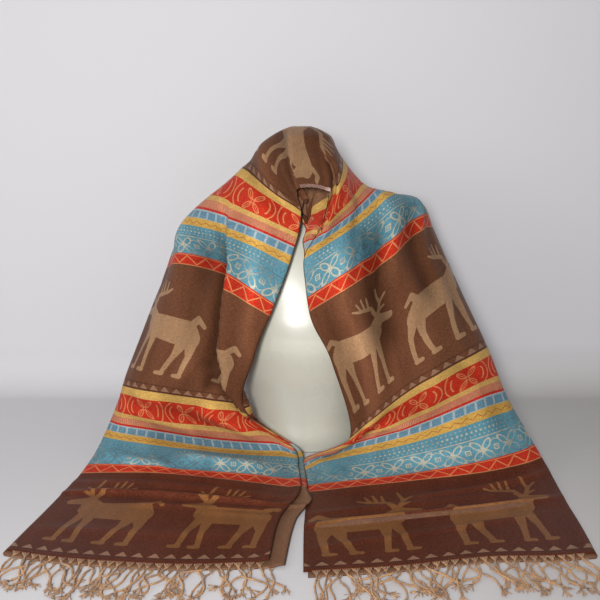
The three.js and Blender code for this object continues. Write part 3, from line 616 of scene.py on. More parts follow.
# %% The Wire class
class Wire:
    """A number in a node tree. Arithmetic on it adds Math nodes to that tree."""

    def __init__(self, tree, socket):
        self.tree, self.socket = tree, socket

    def math(self, operation, *others, clamp=False):
        node = self.tree.nodes.new("ShaderNodeMath")
        node.operation, node.use_clamp = operation, clamp
        for value, slot in zip((self,) + others, node.inputs):
            if isinstance(value, Wire):
                self.tree.links.new(value.socket, slot)
            else:
                slot.default_value = value
        return Wire(self.tree, node.outputs[0])

    def __add__(self, other):
        return self.math("ADD", other)

    def __sub__(self, other):
        return self.math("SUBTRACT", other)

    def __mul__(self, other):
        return self.math("MULTIPLY", other)

    def __abs__(self):
        return self.math("ABSOLUTE")

    def least(self, other):
        return self.math("MINIMUM", other)

    def most(self, other):
        return self.math("MAXIMUM", other)

    def wrap(self, low, high):
        return self.math("WRAP", high, low)

    def above(self, edge, soft=0.7):
        """1 above the edge and 0 below it, with a soft step."""
        return (self - edge).math("MULTIPLY_ADD", 1 / soft, 0.5, clamp=True)

    def near(self, half, soft=0.7):
        """1 where the distance from zero is under half."""
        return (abs(self) - half).math("MULTIPLY_ADD", -1 / soft, 0.5, clamp=True)

    def between(self, low, high, soft=0.7):
        return (self - (low + high) / 2).near((high - low) / 2, soft)


def hypot(x, y):
    """Distance from the middle of a motif."""
    return (x * x + y * y).math("SQRT")


def group(name, inputs, outputs):
    """An empty node group with named float or colour sockets."""
    tree = bpy.data.node_groups.new(name, "ShaderNodeTree")
    kinds = {"value": "NodeSocketFloat", "vector": "NodeSocketVector",
             "colour": "NodeSocketColor"}
    for way, sockets in (("INPUT", inputs), ("OUTPUT", outputs)):
        for label, kind in sockets.items():
            tree.interface.new_socket(label, in_out=way, socket_type=kinds[kind])
    return tree, tree.nodes.new("NodeGroupInput"), tree.nodes.new("NodeGroupOutput")


def use_group(tree, inner, **values):
    """Place a node group in a tree and set its inputs, or wire them."""
    node = tree.nodes.new("ShaderNodeGroup")
    node.node_tree = inner
    for label, value in values.items():
        slot = node.inputs[label]
        if isinstance(value, Wire):
            tree.links.new(value.socket, slot)
        else:
            slot.default_value = value
    return node


print("wire operations", [n for n in vars(Wire) if not n.startswith("_")])

# %% [markdown]
# ## One stroke of the animal
# A woven animal is drawn from round-ended strokes that taper, like limbs. One stroke is a shader
# node group, so that its nodes are built once and used for every limb. It gives the distance to
# the stroke, and keeps the nearest of it and the strokes before.

# %% Stroke group
def vector_math(tree, operation, a, b=None, scale=None):
    """A Vector Math node on sockets, which gives a number for a length or a dot product."""
    node = tree.nodes.new("ShaderNodeVectorMath")
    node.operation = operation
    for value, slot in ((a, node.inputs[0]), (b, node.inputs[1])):
        if value is not None:
            tree.links.new(value, slot)
    if scale is not None:
        tree.links.new(scale.socket, node.inputs["Scale"])
    return node.outputs["Value" if operation in ("LENGTH", "DOT_PRODUCT") else "Vector"]


stroke, stroke_in, stroke_out = group(
    "stroke",
    {"Position": "vector", "From": "vector", "To": "vector", "From radius": "value",
     "To radius": "value", "Nearest": "value"},
    {"Distance": "value"},
)
place, start, end = (stroke_in.outputs[n] for n in ("Position", "From", "To"))
limb = vector_math(stroke, "SUBTRACT", end, start)
reach = vector_math(stroke, "SUBTRACT", place, start)
share = Wire(stroke, vector_math(stroke, "DOT_PRODUCT", reach, limb)).math(
    "DIVIDE", Wire(stroke, vector_math(stroke, "DOT_PRODUCT", limb, limb)), clamp=True)
foot = vector_math(stroke, "SCALE", limb, scale=share)
gap = Wire(stroke, vector_math(stroke, "LENGTH", vector_math(stroke, "SUBTRACT", reach, foot)))
thick, thin = (Wire(stroke, stroke_in.outputs[n]) for n in ("From radius", "To radius"))
distance = gap - thick - (thin - thick) * share
nearest = distance.least(Wire(stroke, stroke_in.outputs["Nearest"]))
stroke.links.new(nearest.socket, stroke_out.inputs["Distance"])
print("stroke group nodes", len(stroke.nodes))

# %% [markdown]
# The deer stands 155 mm tall with its hooves towards the hem, and every one walks towards the
# fold. Its strokes are in millimetres: along the weave from the tail, and up from the hooves.

# %% Strokes of the deer
# part, from x and y, to x and y, radius at each end
DEER = [
    ("barrel", 36, 76, 104, 77, 20, 18), ("rump", 31, 72, 35, 78, 18, 17),
    ("chest", 104, 77, 116, 81, 17, 14), ("neck", 112, 86, 124, 98, 14, 11),
    ("head", 122, 99, 150, 97, 9, 5.5), ("ear", 118, 110, 110, 115, 3.5, 2),
    ("tail root", 28, 94, 18, 101, 5, 5), ("tail end", 18, 101, 8, 93, 5, 3.5),
    ("thigh", 28, 68, 23, 42, 13, 6), ("shank", 23, 42, 27, 8, 5.5, 4.2),
    ("hoof", 26, 4.5, 38, 4, 4.3, 3.2), ("far thigh", 42, 66, 48, 41, 12, 6),
    ("far shank", 48, 41, 60, 8, 5.2, 4.2), ("far hoof", 59, 4.5, 71, 4, 4.2, 3.2),
    ("foreleg", 103, 66, 104, 38, 9, 5), ("cannon", 104, 38, 103, 8, 4.6, 4),
    ("fore hoof", 102, 4.5, 113, 4, 4, 3.2), ("far foreleg", 115, 70, 124, 42, 8, 5),
    ("far cannon", 124, 42, 130, 9, 4.6, 4), ("far fore hoof", 129, 5.5, 141, 5, 4, 3.2),
    ("beam", 118, 106, 110, 122, 3.6, 3.4), ("beam end", 110, 122, 80, 128, 3.4, 2.6),
    ("tine one", 104, 124, 102, 142, 2.7, 1.6), ("tine two", 95, 126, 90, 145, 2.7, 1.6),
    ("tine three", 86, 128, 79, 142, 2.5, 1.5), ("tine four", 80, 128, 69, 133, 2.4, 1.5),
    ("front beam", 124, 107, 131, 124, 3.4, 3), ("front end", 131, 124, 124, 148, 3, 1.8),
    ("front tine", 131, 124, 143, 134, 2.6, 1.6), ("brow tine", 126, 112, 139, 117, 2.6, 1.5),
]
DEER_PITCH = 175
HOOF_LEVEL = 32


def combine(tree, x, y):
    node = tree.nodes.new("ShaderNodeCombineXYZ")
    tree.links.new(x.socket, node.inputs[0])
    tree.links.new(y.socket, node.inputs[1])
    return Wire(tree, node.outputs[0])


deer, deer_in, deer_out = group("deer", {"Across": "value", "Up": "value"}, {"Mask": "value"})
from_tail = (Wire(deer, deer_in.outputs["Across"]) * -1 + SHAWL_WIDTH).wrap(0, DEER_PITCH)
spot = combine(deer, from_tail, Wire(deer, deer_in.outputs["Up"]) - HOOF_LEVEL)
closest = 100.0
for _, x0, y0, x1, y1, r0, r1 in DEER:
    node = use_group(deer, stroke, **{
        "Position": spot, "From": (x0, y0, 0), "To": (x1, y1, 0),
        "From radius": r0, "To radius": r1, "Nearest": closest})
    closest = Wire(deer, node.outputs["Distance"])
deer.links.new((closest * -1).above(0).socket, deer_out.inputs["Mask"])
print(len(DEER), "strokes in the deer")

# %% [markdown]
# ## The stripe group
# Between two deer bands come nine stripes, always in the same order from the hem side. The
# lengths in this table add up to the 195 mm of the measured model.

# %% Stripe table
# stripe, its length along the shawl, its colour on the face
STRIPES = [
    ("red zigzag", 20.2, "a82616"), ("blue flowers", 60.5, "4b7d8c"),
    ("yellow zigzag", 15.1, "b38d44"), ("blue squares", 16.8, "8a989c"),
    ("thin red", 5.0, "a8221a"), ("salmon", 13.5, "b06a4c"), ("thin yellow", 10.1, "b69052"),
    ("red rings", 38.7, "a82616"), ("yellow", 15.1, "b6914f"),
]
REPEAT = GROUND_BAND + STRIPE_GROUP
stripe_from = {}
at = GROUND_BAND
for name, length, _ in STRIPES:
    stripe_from[name] = (at, at + length)
    at += length
assert abs(at - REPEAT) < 0.01
print("stripes end at", round(at, 2), "mm")

# %% [markdown]
# ## Motifs in the stripes
# Most stripes carry a small drawing: rings with four petals on red, crossed flowers and rows of
# dots on blue, zigzags on red and yellow, small squares on blue. They could be strokes like the
# deer, but all of them repeat along the weft, so one wrapped number is enough for each.

# %% Motif group
HALF_REPEAT = DEER_PITCH / 2
motifs, motifs_in, motifs_out = group(
    "stripe_motifs", {"Across": "value", "Repeat": "value"},
    {"Light lines": "value", "Dark marks": "value", "Yellow marks": "value"})
q = Wire(motifs, motifs_in.outputs["Across"])
r = Wire(motifs, motifs_in.outputs["Repeat"])


def middle_of(name):
    """How far the middle of a stripe lies from the start of the repeat."""
    low, high = stripe_from[name]
    return (low + high) / 2


def zigzag(name, pitch, height, half):
    """A zigzag line along the middle of a stripe. Its thickness is twice half."""
    low, high = stripe_from[name]
    wave = abs(q.wrap(-pitch / 2, pitch / 2)) * (2 * height / pitch) - height / 2
    slant = math.cos(math.atan(2 * height / pitch))
    off = (r - middle_of(name) - wave) * slant
    return off.near(half) * r.between(low, high)


def oval(x, y, half_across, half_along):
    """Distance from the outline of an oval, as a share of its size."""
    return hypot(x * (1 / half_across), y * (1 / half_along)) - 1


def petals(x, y, centre, length, width, half):
    """Four petal outlines on the diagonals, at a distance from the centre."""
    out = (abs(x) + abs(y)) * math.sqrt(0.5) - centre
    side = (abs(x) - abs(y)) * math.sqrt(0.5)
    return oval(out, side, length, width).near(half / width, 0.7 / width)


# rings with petals on the wide red stripe
x, y = q.wrap(-HALF_REPEAT / 2, HALF_REPEAT / 2), r - middle_of("red rings")
ring = oval(x, y, 41, 30).near(0.03, 0.02)
arc = oval(x, y, 31, 23).near(0.045, 0.03) * abs(y).near(11.5)
leaf = petals(x, y, 13.5, 8.5, 3.8, 0.75)
vein = ((abs(x) - abs(y)).near(0.8) * abs(x).between(6, 14))
eye = (hypot(x, y) - 3).near(0.9)
rings = (ring.most(arc).most(leaf).most(vein).most(eye)
         * r.between(*stripe_from["red rings"]))
red_edges = ((r - stripe_from["red zigzag"][0] - 1.0).near(0.7)
             .most((r - stripe_from["red zigzag"][1] + 1.0).near(0.7)))
print("rings repeat every", HALF_REPEAT, "mm")

# %% [markdown]
# The blue stripe has two rows: large flowers with little gems between them, and above them a
# thread, beads and dots. The squares, a fine hatch on salmon and both zigzags join them here.

# %% Flowers, dots and squares on blue
low, high = stripe_from["blue flowers"]
flower_row = low + 18.5
quarter = HALF_REPEAT / 4
x, y = q.wrap(-quarter, quarter), r - flower_row
flower = petals(x, y, 11.5, 9.2, 4.4, 0.9).most(hypot(x, y).near(1.6))
x2 = (q + quarter).wrap(-quarter, quarter)
gem = (abs(x2).most(abs(y)) - 3.4).near(0.9).most(hypot(x2, y).near(1.3))
sprig = (abs(y) - 13.5 + abs(x2) * 0.5).near(0.7) * abs(x2).near(6)
thread = (r - low - 38).near(0.8)
small = HALF_REPEAT / 24
beads = hypot(q.wrap(-small, small), r - low - 49).near(1.7)
dots = (hypot(q.wrap(-small, small), r - low - 55.5)
        .least(hypot((q + small).wrap(-small, small), r - low - 43))).near(1.2)
flowers = flower.most(gem).most(sprig).most(thread).most(beads).most(dots * 0.8)
light = rings.most(flowers * r.between(low, high)).most(red_edges)
light = light.most(zigzag("red zigzag", HALF_REPEAT / 3, 14.5, 0.95))
hatch = q.wrap(-HALF_REPEAT / 40, HALF_REPEAT / 40).near(0.6) * 0.5
light = light.most(hatch * r.between(*stripe_from["salmon"]))
low, high = stripe_from["blue squares"]
squares = (q.wrap(-HALF_REPEAT / 10, HALF_REPEAT / 10).near(6.9)
           * (r - (low + high) / 2).near(6.6) * r.between(low, high))
motifs.links.new(light.socket, motifs_out.inputs["Light lines"])
motifs.links.new(squares.socket, motifs_out.inputs["Dark marks"])
motifs.links.new(zigzag("yellow zigzag", HALF_REPEAT / 5, 5.5, 0.7).socket,
                 motifs_out.inputs["Yellow marks"])
print("motif group nodes", len(motifs.nodes))

# %% [markdown]
# ## The whole weave
# This group reads the weave map and puts out the colour of the face, the colour of the reverse
# and how far the threads stand out. The pattern runs from each hem to the neck band, so the
# right half is the left half mirrored. On the reverse both brown threads float, so the ground
# and the deer come out in nearly the same brown there.

# %% Weave group
weave_group, weave_in, weave_out = group(
    "weave", {"Map": "vector", "Edge": "value"},
    {"Face": "colour", "Reverse": "colour", "Raised": "value"})
split = weave_group.nodes.new("ShaderNodeSeparateXYZ")
weave_group.links.new(weave_in.outputs["Map"], split.inputs[0])
across_mm = Wire(weave_group, split.outputs[0]) * 1000
length_mm = Wire(weave_group, split.outputs[1]) * 1000
mirrored = length_mm.math("GREATER_THAN", HEM + NECK_BAND_END)
to_hem = length_mm + mirrored * ((length_mm * -2) + 2 * HEM)
repeat = to_hem.math("MODULO", REPEAT)
in_neck = to_hem.above(2 * REPEAT, 0.5)
in_end = (to_hem * -1 + GROUND_BAND).above(0, 4)
print("repeat", REPEAT, "mm")

# %% [markdown]
# Colours are written as display codes and turned into the linear values that nodes take. Four
# small helpers add the nodes that blend, texture, stretch and ramp them.

# %% Tools for colours
def linear(code):
    """A display colour written as rrggbb, as the linear colour that nodes take."""
    parts = [int(code[i:i + 2], 16) / 255 for i in (0, 2, 4)]
    return tuple(c / 12.92 if c <= 0.04045 else ((c + 0.055) / 1.055) ** 2.4 for c in parts)


def mix(tree, factor, a, b):
    """A blend of two colours. The factor is a wire or a number, a colour a wire or a code."""
    node = tree.nodes.new("ShaderNodeMix")
    node.data_type = "RGBA"
    colours = [s for s in node.inputs if s.type == "RGBA"]
    for value, slot in ((factor, node.inputs[0]), (a, colours[0]), (b, colours[1])):
        if isinstance(value, Wire):
            tree.links.new(value.socket, slot)
        else:
            slot.default_value = (*linear(value), 1) if isinstance(value, str) else value
    return Wire(tree, [s for s in node.outputs if s.type == "RGBA"][0])


def texture(tree, kind, vector, scale, **settings):
    """A texture node on a vector, with any more inputs by name."""
    node = tree.nodes.new(kind)
    tree.links.new(vector, node.inputs["Vector"])
    node.inputs["Scale"].default_value = scale
    for label, value in settings.items():
        node.inputs[label].default_value = value
    return node


def stretched(tree, vector, x, y):
    """A vector scaled across and along, for a noise that runs in streaks."""
    node = tree.nodes.new("ShaderNodeMapping")
    node.inputs["Scale"].default_value = (x, y, 1)
    tree.links.new(vector, node.inputs["Vector"])
    return node.outputs[0]


def ramp(tree, value, stops):
    """Flat colours in a row, from a list of where each one starts."""
    node = tree.nodes.new("ShaderNodeValToRGB")
    node.color_ramp.interpolation = "CONSTANT"
    tree.links.new(value.socket, node.inputs[0])
    for k, (spot, code) in enumerate(stops):
        stop = node.color_ramp.elements[k] if k < 1 else node.color_ramp.elements.new(spot)
        stop.position, stop.color = spot, (*linear(code), 1)
    return Wire(tree, node.outputs[0])


print("mid grey is", round(linear("808080")[0], 3))

# %% [markdown]
# First come the masks that say where each thread shows: the deer in its band, a row of teeth
# between two dark lines along its border, and the motifs. Near the hem the border is shifted a
# little. Painting masks by hand would be easier, but they would not follow the map's millimetres.

# %% Masks of the weave
BORDER_INSET = 8
TEETH_PER_DEER = 8
TEETH_FROM, TEETH_TO, TOOTH_SLOPE, TOOTH_HEIGHT = 3.6, 12, -1.1, 9.2
in_ground = (repeat * -1 + GROUND_BAND).above(0)
deer_mask = Wire(weave_group, use_group(
    weave_group, deer, Across=across_mm, Up=repeat).outputs["Mask"]) * in_ground
border_at = repeat + in_neck * (repeat.least((repeat * -1) + GROUND_BAND) - repeat)
border_at = border_at - in_end * BORDER_INSET
half_tooth = DEER_PITCH / TEETH_PER_DEER / 2
teeth = abs(across_mm.wrap(-half_tooth, half_tooth)) * TOOTH_SLOPE + TOOTH_HEIGHT
teeth = (teeth - (border_at - TEETH_FROM)).above(0)
teeth = teeth * border_at.between(TEETH_FROM, TEETH_TO)
dark_lines = (border_at - 2).near(1.1).most((border_at - 13).near(0.8))
marks = use_group(weave_group, motifs, Across=across_mm, Repeat=repeat)
light, dark, amber = (Wire(weave_group, marks.outputs[n])
                      for n in ("Light lines", "Dark marks", "Yellow marks"))
on_red = (repeat.between(*stripe_from["red rings"])
          .most(repeat.between(*stripe_from["red zigzag"])))
selvage = Wire(weave_group, weave_in.outputs["Edge"]).near(0.9)
print(TEETH_PER_DEER, "teeth for each deer")

# %% [markdown]
# The colours go on like layers of a print: the ground of each band, the deer, the teeth and dark
# lines along the border, the line drawing, and last the flecks of undyed wool. Real pashmina is
# not even, so the line on blue shifts between slate and straw with a slow noise.

# %% Colours of the weave
FLECK, SELVAGE, BORDER_LINE, SQUARE, AMBER = "7c5a44", "3c2219", "38211b", "3a6f86", "8d4a2c"
LINE_ON_RED, SLATE, STRAW = "c47c50", "45606b", "aaa28c"
BACK_GROUND, BACK_DEER, BACK_LINE, BACK_HAZE = "6e4c36", "6c4a3a", "b08a68", "7d6454"
# The end bands that lie on the table get a darker, redder ground and deer: a painted shade.
GROUND, GROUND_IN_PAINTED_SHADE = "5c3927", "4a2216"
DEER_THREAD, DEER_IN_PAINTED_SHADE = "8f6e51", "6f4829"
BORDER = "80604c"
stops = [(0, GROUND)] + [(stripe_from[n][0] / REPEAT, code) for n, _, code in STRIPES]
grounds = ramp(weave_group, repeat * (1 / REPEAT), stops)
# in_end paints the lying end bands darker here, as painted shade.
ground = mix(weave_group, in_end, GROUND, GROUND_IN_PAINTED_SHADE)
figure = mix(weave_group, in_end, DEER_THREAD, DEER_IN_PAINTED_SHADE)
faded = texture(weave_group, "ShaderNodeTexNoise", weave_in.outputs["Map"], 14.0)
faded = (Wire(weave_group, faded.outputs[0]) - 0.4).math("MULTIPLY", 8.0, clamp=True)
on_blue = mix(weave_group, faded, SLATE, STRAW)
line_colour = mix(weave_group, on_red, on_blue, LINE_ON_RED)
fleck = texture(weave_group, "ShaderNodeTexNoise", stretched(
    weave_group, weave_in.outputs["Map"], 330, 520), 1.0, Detail=3.0)
fleck = (Wire(weave_group, fleck.outputs[0]) - 0.47).math("MULTIPLY", 4.0, clamp=True)

face = mix(weave_group, in_ground, grounds, ground)
face = mix(weave_group, deer_mask, face, figure)
face = mix(weave_group, teeth * in_ground, face, BORDER)
face = mix(weave_group, dark_lines * in_ground * 0.75, face, BORDER_LINE)
face = mix(weave_group, light * 0.8, face, line_colour)
face = mix(weave_group, dark * 0.8, face, SQUARE)
face = mix(weave_group, amber * 0.75, face, AMBER)
face = mix(weave_group, fleck * (in_ground * -0.25 + 0.45), face, FLECK)
face = mix(weave_group, selvage, face, SELVAGE)
back = mix(weave_group, in_ground, grounds, BACK_GROUND)
back = mix(weave_group, deer_mask, back, BACK_DEER)
back = mix(weave_group, light * 0.6, back, BACK_LINE)
back = mix(weave_group, 0.15, back, BACK_HAZE)
back = mix(weave_group, selvage, back, SELVAGE)
for label, value in (("Face", face), ("Reverse", back),
                     ("Raised", deer_mask.most(light).most(teeth * in_ground))):
    weave_group.links.new(value.socket, weave_out.inputs[label])
print("weave group nodes", len(weave_group.nodes))

# %% [markdown]
# ## Thread relief
# A fine twill shows as faint diagonal ribs, and a soft wool yarn is never one even colour. This
# group puts out both: a height for the bump, and a brightness that wavers from thread to thread.

# %% Thread group
threads, threads_in, threads_out = group(
    "threads", {"Map": "vector", "Ribs": "value"}, {"Height": "value", "Brightness": "value"})
weft = stretched(threads, threads_in.outputs["Map"], 160, 900)
warp = stretched(threads, threads_in.outputs["Map"], 900, 220)
weft_noise = texture(threads, "ShaderNodeTexNoise", weft, 1.0, Detail=2.0)
warp_noise = texture(threads, "ShaderNodeTexNoise", warp, 1.0, Detail=2.0)
parts = threads.nodes.new("ShaderNodeSeparateXYZ")
threads.links.new(threads_in.outputs["Map"], parts.inputs[0])
diagonal = Wire(threads, parts.outputs[0]) + Wire(threads, parts.outputs[1])
ribs = (diagonal * Wire(threads, threads_in.outputs["Ribs"])).math("SINE")
uneven = (Wire(threads, weft_noise.outputs[0]) + Wire(threads, warp_noise.outputs[0])) - 1
threads.links.new((ribs * 0.35 + uneven * 1.6).socket, threads_out.inputs["Height"])
threads.links.new((uneven * 0.9 + ribs * 0.03 + 1).socket, threads_out.inputs["Brightness"])
print("thread group nodes", len(threads.nodes))

# %% [markdown]
# ## The two sides of the cloth
# Both sides share one recipe: the weave's colour, the thread relief on top, and the satin gloss
# of fine wool, which takes the colour of its threads. The Principled BSDF stays in the material,
# and only colours and heights come from groups. Two slow noises keep a large plain band alive:
# one for handling, and a streaky one along the cloth that paints the sheen and shade of soft
# folds. The painted fold shading of the weave map darkens and lightens the colour too.

# %% Tools for materials
def material(name):
    made = bpy.data.materials.new(name)
    made.use_nodes = True
    tree = made.node_tree
    return made, tree, tree.nodes["Principled BSDF"]


def bump(tree, height, strength, distance, shader):
    node = tree.nodes.new("ShaderNodeBump")
    node.inputs["Strength"].default_value = strength
    node.inputs["Distance"].default_value = distance
    tree.links.new(height.socket, node.inputs["Height"])
    tree.links.new(node.outputs[0], shader.inputs["Normal"])


def brighten(tree, colour, factor):
    """A colour times a factor, which is a wire or a number."""
    node = tree.nodes.new("ShaderNodeVectorMath")
    node.operation = "SCALE"
    tree.links.new(colour.socket, node.inputs[0])
    if isinstance(factor, Wire):
        tree.links.new(factor.socket, node.inputs["Scale"])
    else:
        node.inputs["Scale"].default_value = factor
    return Wire(tree, node.outputs[0])


print("tools for materials are ready")

# %% Cloth materials
RIBS = 3600.0
# Strength of the handling noise, and of the streaks of painted sheen and shade.
HANDLING, PAINTED_SHEEN_STREAKS = 0.2, 0.75
ROUGH_WOOL, SMOOTHER_FIGURE, SATIN = 0.52, -0.1, 3.0


def attribute(tree, name):
    node = tree.nodes.new("ShaderNodeAttribute")
    node.attribute_name = name
    return node.outputs["Fac"]


def cloth_material(name, side):
    made, tree, shader = material(name)
    uv = tree.nodes.new("ShaderNodeUVMap")
    uv.uv_map = "weave"
    pattern = use_group(tree, weave_group)
    yarn = use_group(tree, threads, Ribs=RIBS)
    for node in (pattern, yarn):
        tree.links.new(uv.outputs[0], node.inputs["Map"])
    tree.links.new(attribute(tree, "edge_distance"), pattern.inputs["Edge"])
    objects = tree.nodes.new("ShaderNodeTexCoord").outputs["Object"]
    handled = texture(tree, "ShaderNodeTexNoise", objects, 14.0, Detail=3.0)
    # A streaky noise along the cloth: painted sheen and painted shade of soft folds.
    painted_sheen_streaks = texture(tree, "ShaderNodeTexNoise", stretched(tree, uv.outputs[0], 34, 9), 1.0,
                      Detail=4.0, Roughness=0.6)
    worn_and_painted_sheen = ((Wire(tree, handled.outputs[0]) - 0.5) * HANDLING
            + (Wire(tree, painted_sheen_streaks.outputs[0]) - 0.5) * PAINTED_SHEEN_STREAKS + 1)
    tone = Wire(tree, yarn.outputs["Brightness"]) * worn_and_painted_sheen
    # The painted fold shading multiplies the colour: painted shade in folds and on the neck band,
    # painted highlight on ridges.
    tone = tone * Wire(tree, attribute(tree, "painted_fold_shading"))
    colour = brighten(tree, Wire(tree, pattern.outputs[side]), tone)
    tree.links.new(colour.socket, shader.inputs["Base Color"])
    satin = brighten(tree, colour, SATIN)
    tree.links.new(satin.socket, shader.inputs["Specular Tint"])
    bump(tree, Wire(tree, yarn.outputs["Height"]), 0.35, 0.0004, shader)
    gloss_of_figure = Wire(tree, pattern.outputs["Raised"]) * SMOOTHER_FIGURE + ROUGH_WOOL
    tree.links.new(gloss_of_figure.socket, shader.inputs["Roughness"])
    shader.inputs["Specular IOR Level"].default_value = 0.4
    shader.inputs["Sheen Weight"].default_value = 0.03
    shader.inputs["Sheen Roughness"].default_value = 0.4
    shader.inputs["Sheen Tint"].default_value = (1.0, 0.8, 0.66, 1)
    return made


shawl.data.materials.append(cloth_material("shawl_face", "Face"))
shawl.data.materials.append(cloth_material("shawl_reverse", "Reverse"))
sides = np.zeros(len(quads), int)
sides[len(face_quads) + len(rim_quads):] = 1
shawl.data.polygons.foreach_set("material_index", sides)
print("reverse faces", int(sides.sum()))

# %% [markdown]
# ## The dress form
# The real one is a hollow moulding of glossy white plastic with no limbs and no head. It could be
# a subdivided cage, but the levels of the measured model already say its shape. We run a smooth
# skin through them, far finer than the model's solid, and close it with a small dome.

# %% Rings of the form
FORM_SIDES = 128
FORM_RINGS = 150
level_z = np.linspace(0, FORM_LEVELS[-1, 0], FORM_RINGS)
levels = form_level(level_z)
turn = np.linspace(0, 2 * math.pi, FORM_SIDES, endpoint=False)
power = 2 / FORM_ROUNDNESS
cosine = np.sign(np.cos(turn)) * np.abs(np.cos(turn)) ** power
sine = np.sign(np.sin(turn)) * np.abs(np.sin(turn)) ** power
deep = np.where(sine < 0, levels[:, 1:2], levels[:, 2:3])
rings_xyz = np.stack([levels[:, 0:1] * cosine, deep * sine,
                      np.repeat(level_z[:, None], FORM_SIDES, axis=1)], axis=-1)
dome = []
for share in (0.75, 0.5, 0.25):
    ring_xyz = rings_xyz[-1] * [share, share, 1]
    ring_xyz[:, 2] = FORM_LEVELS[-1, 0] + (FORM_APEX - FORM_LEVELS[-1, 0]) * (1 - share) ** 0.8
    dome.append(ring_xyz)
rings_xyz = np.concatenate([rings_xyz, dome])
print("rings of the form", len(rings_xyz))

# %% Skin of the form
form_points = np.concatenate([rings_xyz.reshape(-1, 3), [[0, 0, 0], [0, 0, FORM_APEX]]])
rows = len(rings_xyz)
i, k = np.meshgrid(np.arange(rows - 1), np.arange(FORM_SIDES), indexing="ij")
a, b = i * FORM_SIDES + k, i * FORM_SIDES + (k + 1) % FORM_SIDES
skin = np.stack([a, b, b + FORM_SIDES, a + FORM_SIDES], -1).reshape(-1, 4)
k = np.arange(FORM_SIDES)
top_ring = (rows - 1) * FORM_SIDES
base, apex = rows * FORM_SIDES, rows * FORM_SIDES + 1
caps = [[base, (j + 1) % FORM_SIDES, j] for j in k]
caps += [[apex, top_ring + j, top_ring + (j + 1) % FORM_SIDES] for j in k]
form = mesh_piece("form_skin", form_points * MM, skin.tolist() + caps)
for polygon in form.data.polygons[len(skin):len(skin) + FORM_SIDES]:
    polygon.use_smooth = False
print("form", len(form.data.polygons), "faces")

# %% [markdown]
# A plain white shader would look like chalk. The plastic has a hard clear coat for its sharp
# highlight, a little subsurface light for its depth, and a cloudy noise for smudges and for the
# slight yellowing that comes with age.

# %% Gloss white plastic
gloss, tree, shader = material("gloss_white")
objects = tree.nodes.new("ShaderNodeTexCoord").outputs["Object"]
cloudy = texture(tree, "ShaderNodeTexNoise", objects, 9.0, Detail=3.0)
smudge = (Wire(tree, cloudy.outputs[0]) - 0.5) * 0.16 + 0.27
tree.links.new(smudge.socket, shader.inputs["Roughness"])
ageing = ((Wire(tree, cloudy.outputs[0]) - 0.4) * 1.2).math("MULTIPLY", 1, clamp=True)
plastic = mix(tree, ageing, "c6c5b8", "bdbcae")
tree.links.new(plastic.socket, shader.inputs["Base Color"])
shader.inputs["Subsurface Weight"].default_value = 0.08
shader.inputs["Subsurface Radius"].default_value = (0.01, 0.008, 0.006)
shader.inputs["Coat Weight"].default_value = 1.0
shader.inputs["Coat Roughness"].default_value = 0.05
form.data.materials.append(gloss)
print("gloss white is ready")

# %% [markdown]
# ## Twisted yarn
# The warp ends of the shawl are gathered in bunches and twisted into cords. Hair would be too
# stiff and too even here, so a Geometry Nodes tree turns any set of lines into yarn. It sweeps a
# flattened profile along each line and turns it on the way, which gives the twist. The line's
# own thickness and twist are stored on its points.

# %% Yarn tree
yarn_tree = bpy.data.node_groups.new("yarn", "GeometryNodeTree")
yarn_tree.interface.new_socket("Lines", in_out="INPUT", socket_type="NodeSocketGeometry")
for label, kind, value in (("Sides", "NodeSocketInt", 6), ("Flatness", "NodeSocketFloat", 0.66),
                           ("Yarn", "NodeSocketMaterial", None)):
    made = yarn_tree.interface.new_socket(label, in_out="INPUT", socket_type=kind)
    if value is not None:
        made.default_value = value
yarn_tree.interface.new_socket("Cords", in_out="OUTPUT", socket_type="NodeSocketGeometry")
add = lambda kind: yarn_tree.nodes.new(kind)
wire = yarn_tree.links.new
source, result = add("NodeGroupInput"), add("NodeGroupOutput")
curve, tilt, sweep = (add(f"GeometryNode{k}") for k in
                      ("MeshToCurve", "SetCurveTilt", "CurveToMesh"))
circle, squash = add("GeometryNodeCurvePrimitiveCircle"), add("GeometryNodeTransform")
flat, paint = add("ShaderNodeCombineXYZ"), add("GeometryNodeSetMaterial")
realize, soften = add("GeometryNodeRealizeInstances"), add("GeometryNodeSetShadeSmooth")
thickness, twist = add("GeometryNodeInputNamedAttribute"), add("GeometryNodeInputNamedAttribute")
thickness.inputs["Name"].default_value = "thickness"
twist.inputs["Name"].default_value = "twist"
circle.inputs["Radius"].default_value = 1
flat.inputs["X"].default_value = flat.inputs["Z"].default_value = 1
sweep.inputs["Fill Caps"].default_value = True
for out, into in (
    (source.outputs["Lines"], curve.inputs["Mesh"]),
    (curve.outputs["Curve"], tilt.inputs["Curve"]),
    (twist.outputs["Attribute"], tilt.inputs["Tilt"]),
    (tilt.outputs["Curve"], sweep.inputs["Curve"]),
    (source.outputs["Sides"], circle.inputs["Resolution"]),
    (source.outputs["Flatness"], flat.inputs["Y"]),
    (flat.outputs[0], squash.inputs["Scale"]),
    (circle.outputs["Curve"], squash.inputs["Geometry"]),
    (squash.outputs["Geometry"], sweep.inputs["Profile Curve"]),
    (thickness.outputs["Attribute"], sweep.inputs["Scale"]),
    (sweep.outputs["Mesh"], soften.inputs["Geometry"]),
    (soften.outputs["Geometry"], realize.inputs["Geometry"]),
    (realize.outputs["Geometry"], paint.inputs["Geometry"]),
    (source.outputs["Yarn"], paint.inputs["Material"]),
    (paint.outputs["Geometry"], result.inputs["Cords"]),
):
    wire(out, into)
print("yarn tree nodes", len(yarn_tree.nodes))

# %% [markdown]
# The tree is used through a modifier. Its inputs are set by each socket's identifier before the
# first evaluation, and the result is copied into a plain mesh, so no modifier stays behind.

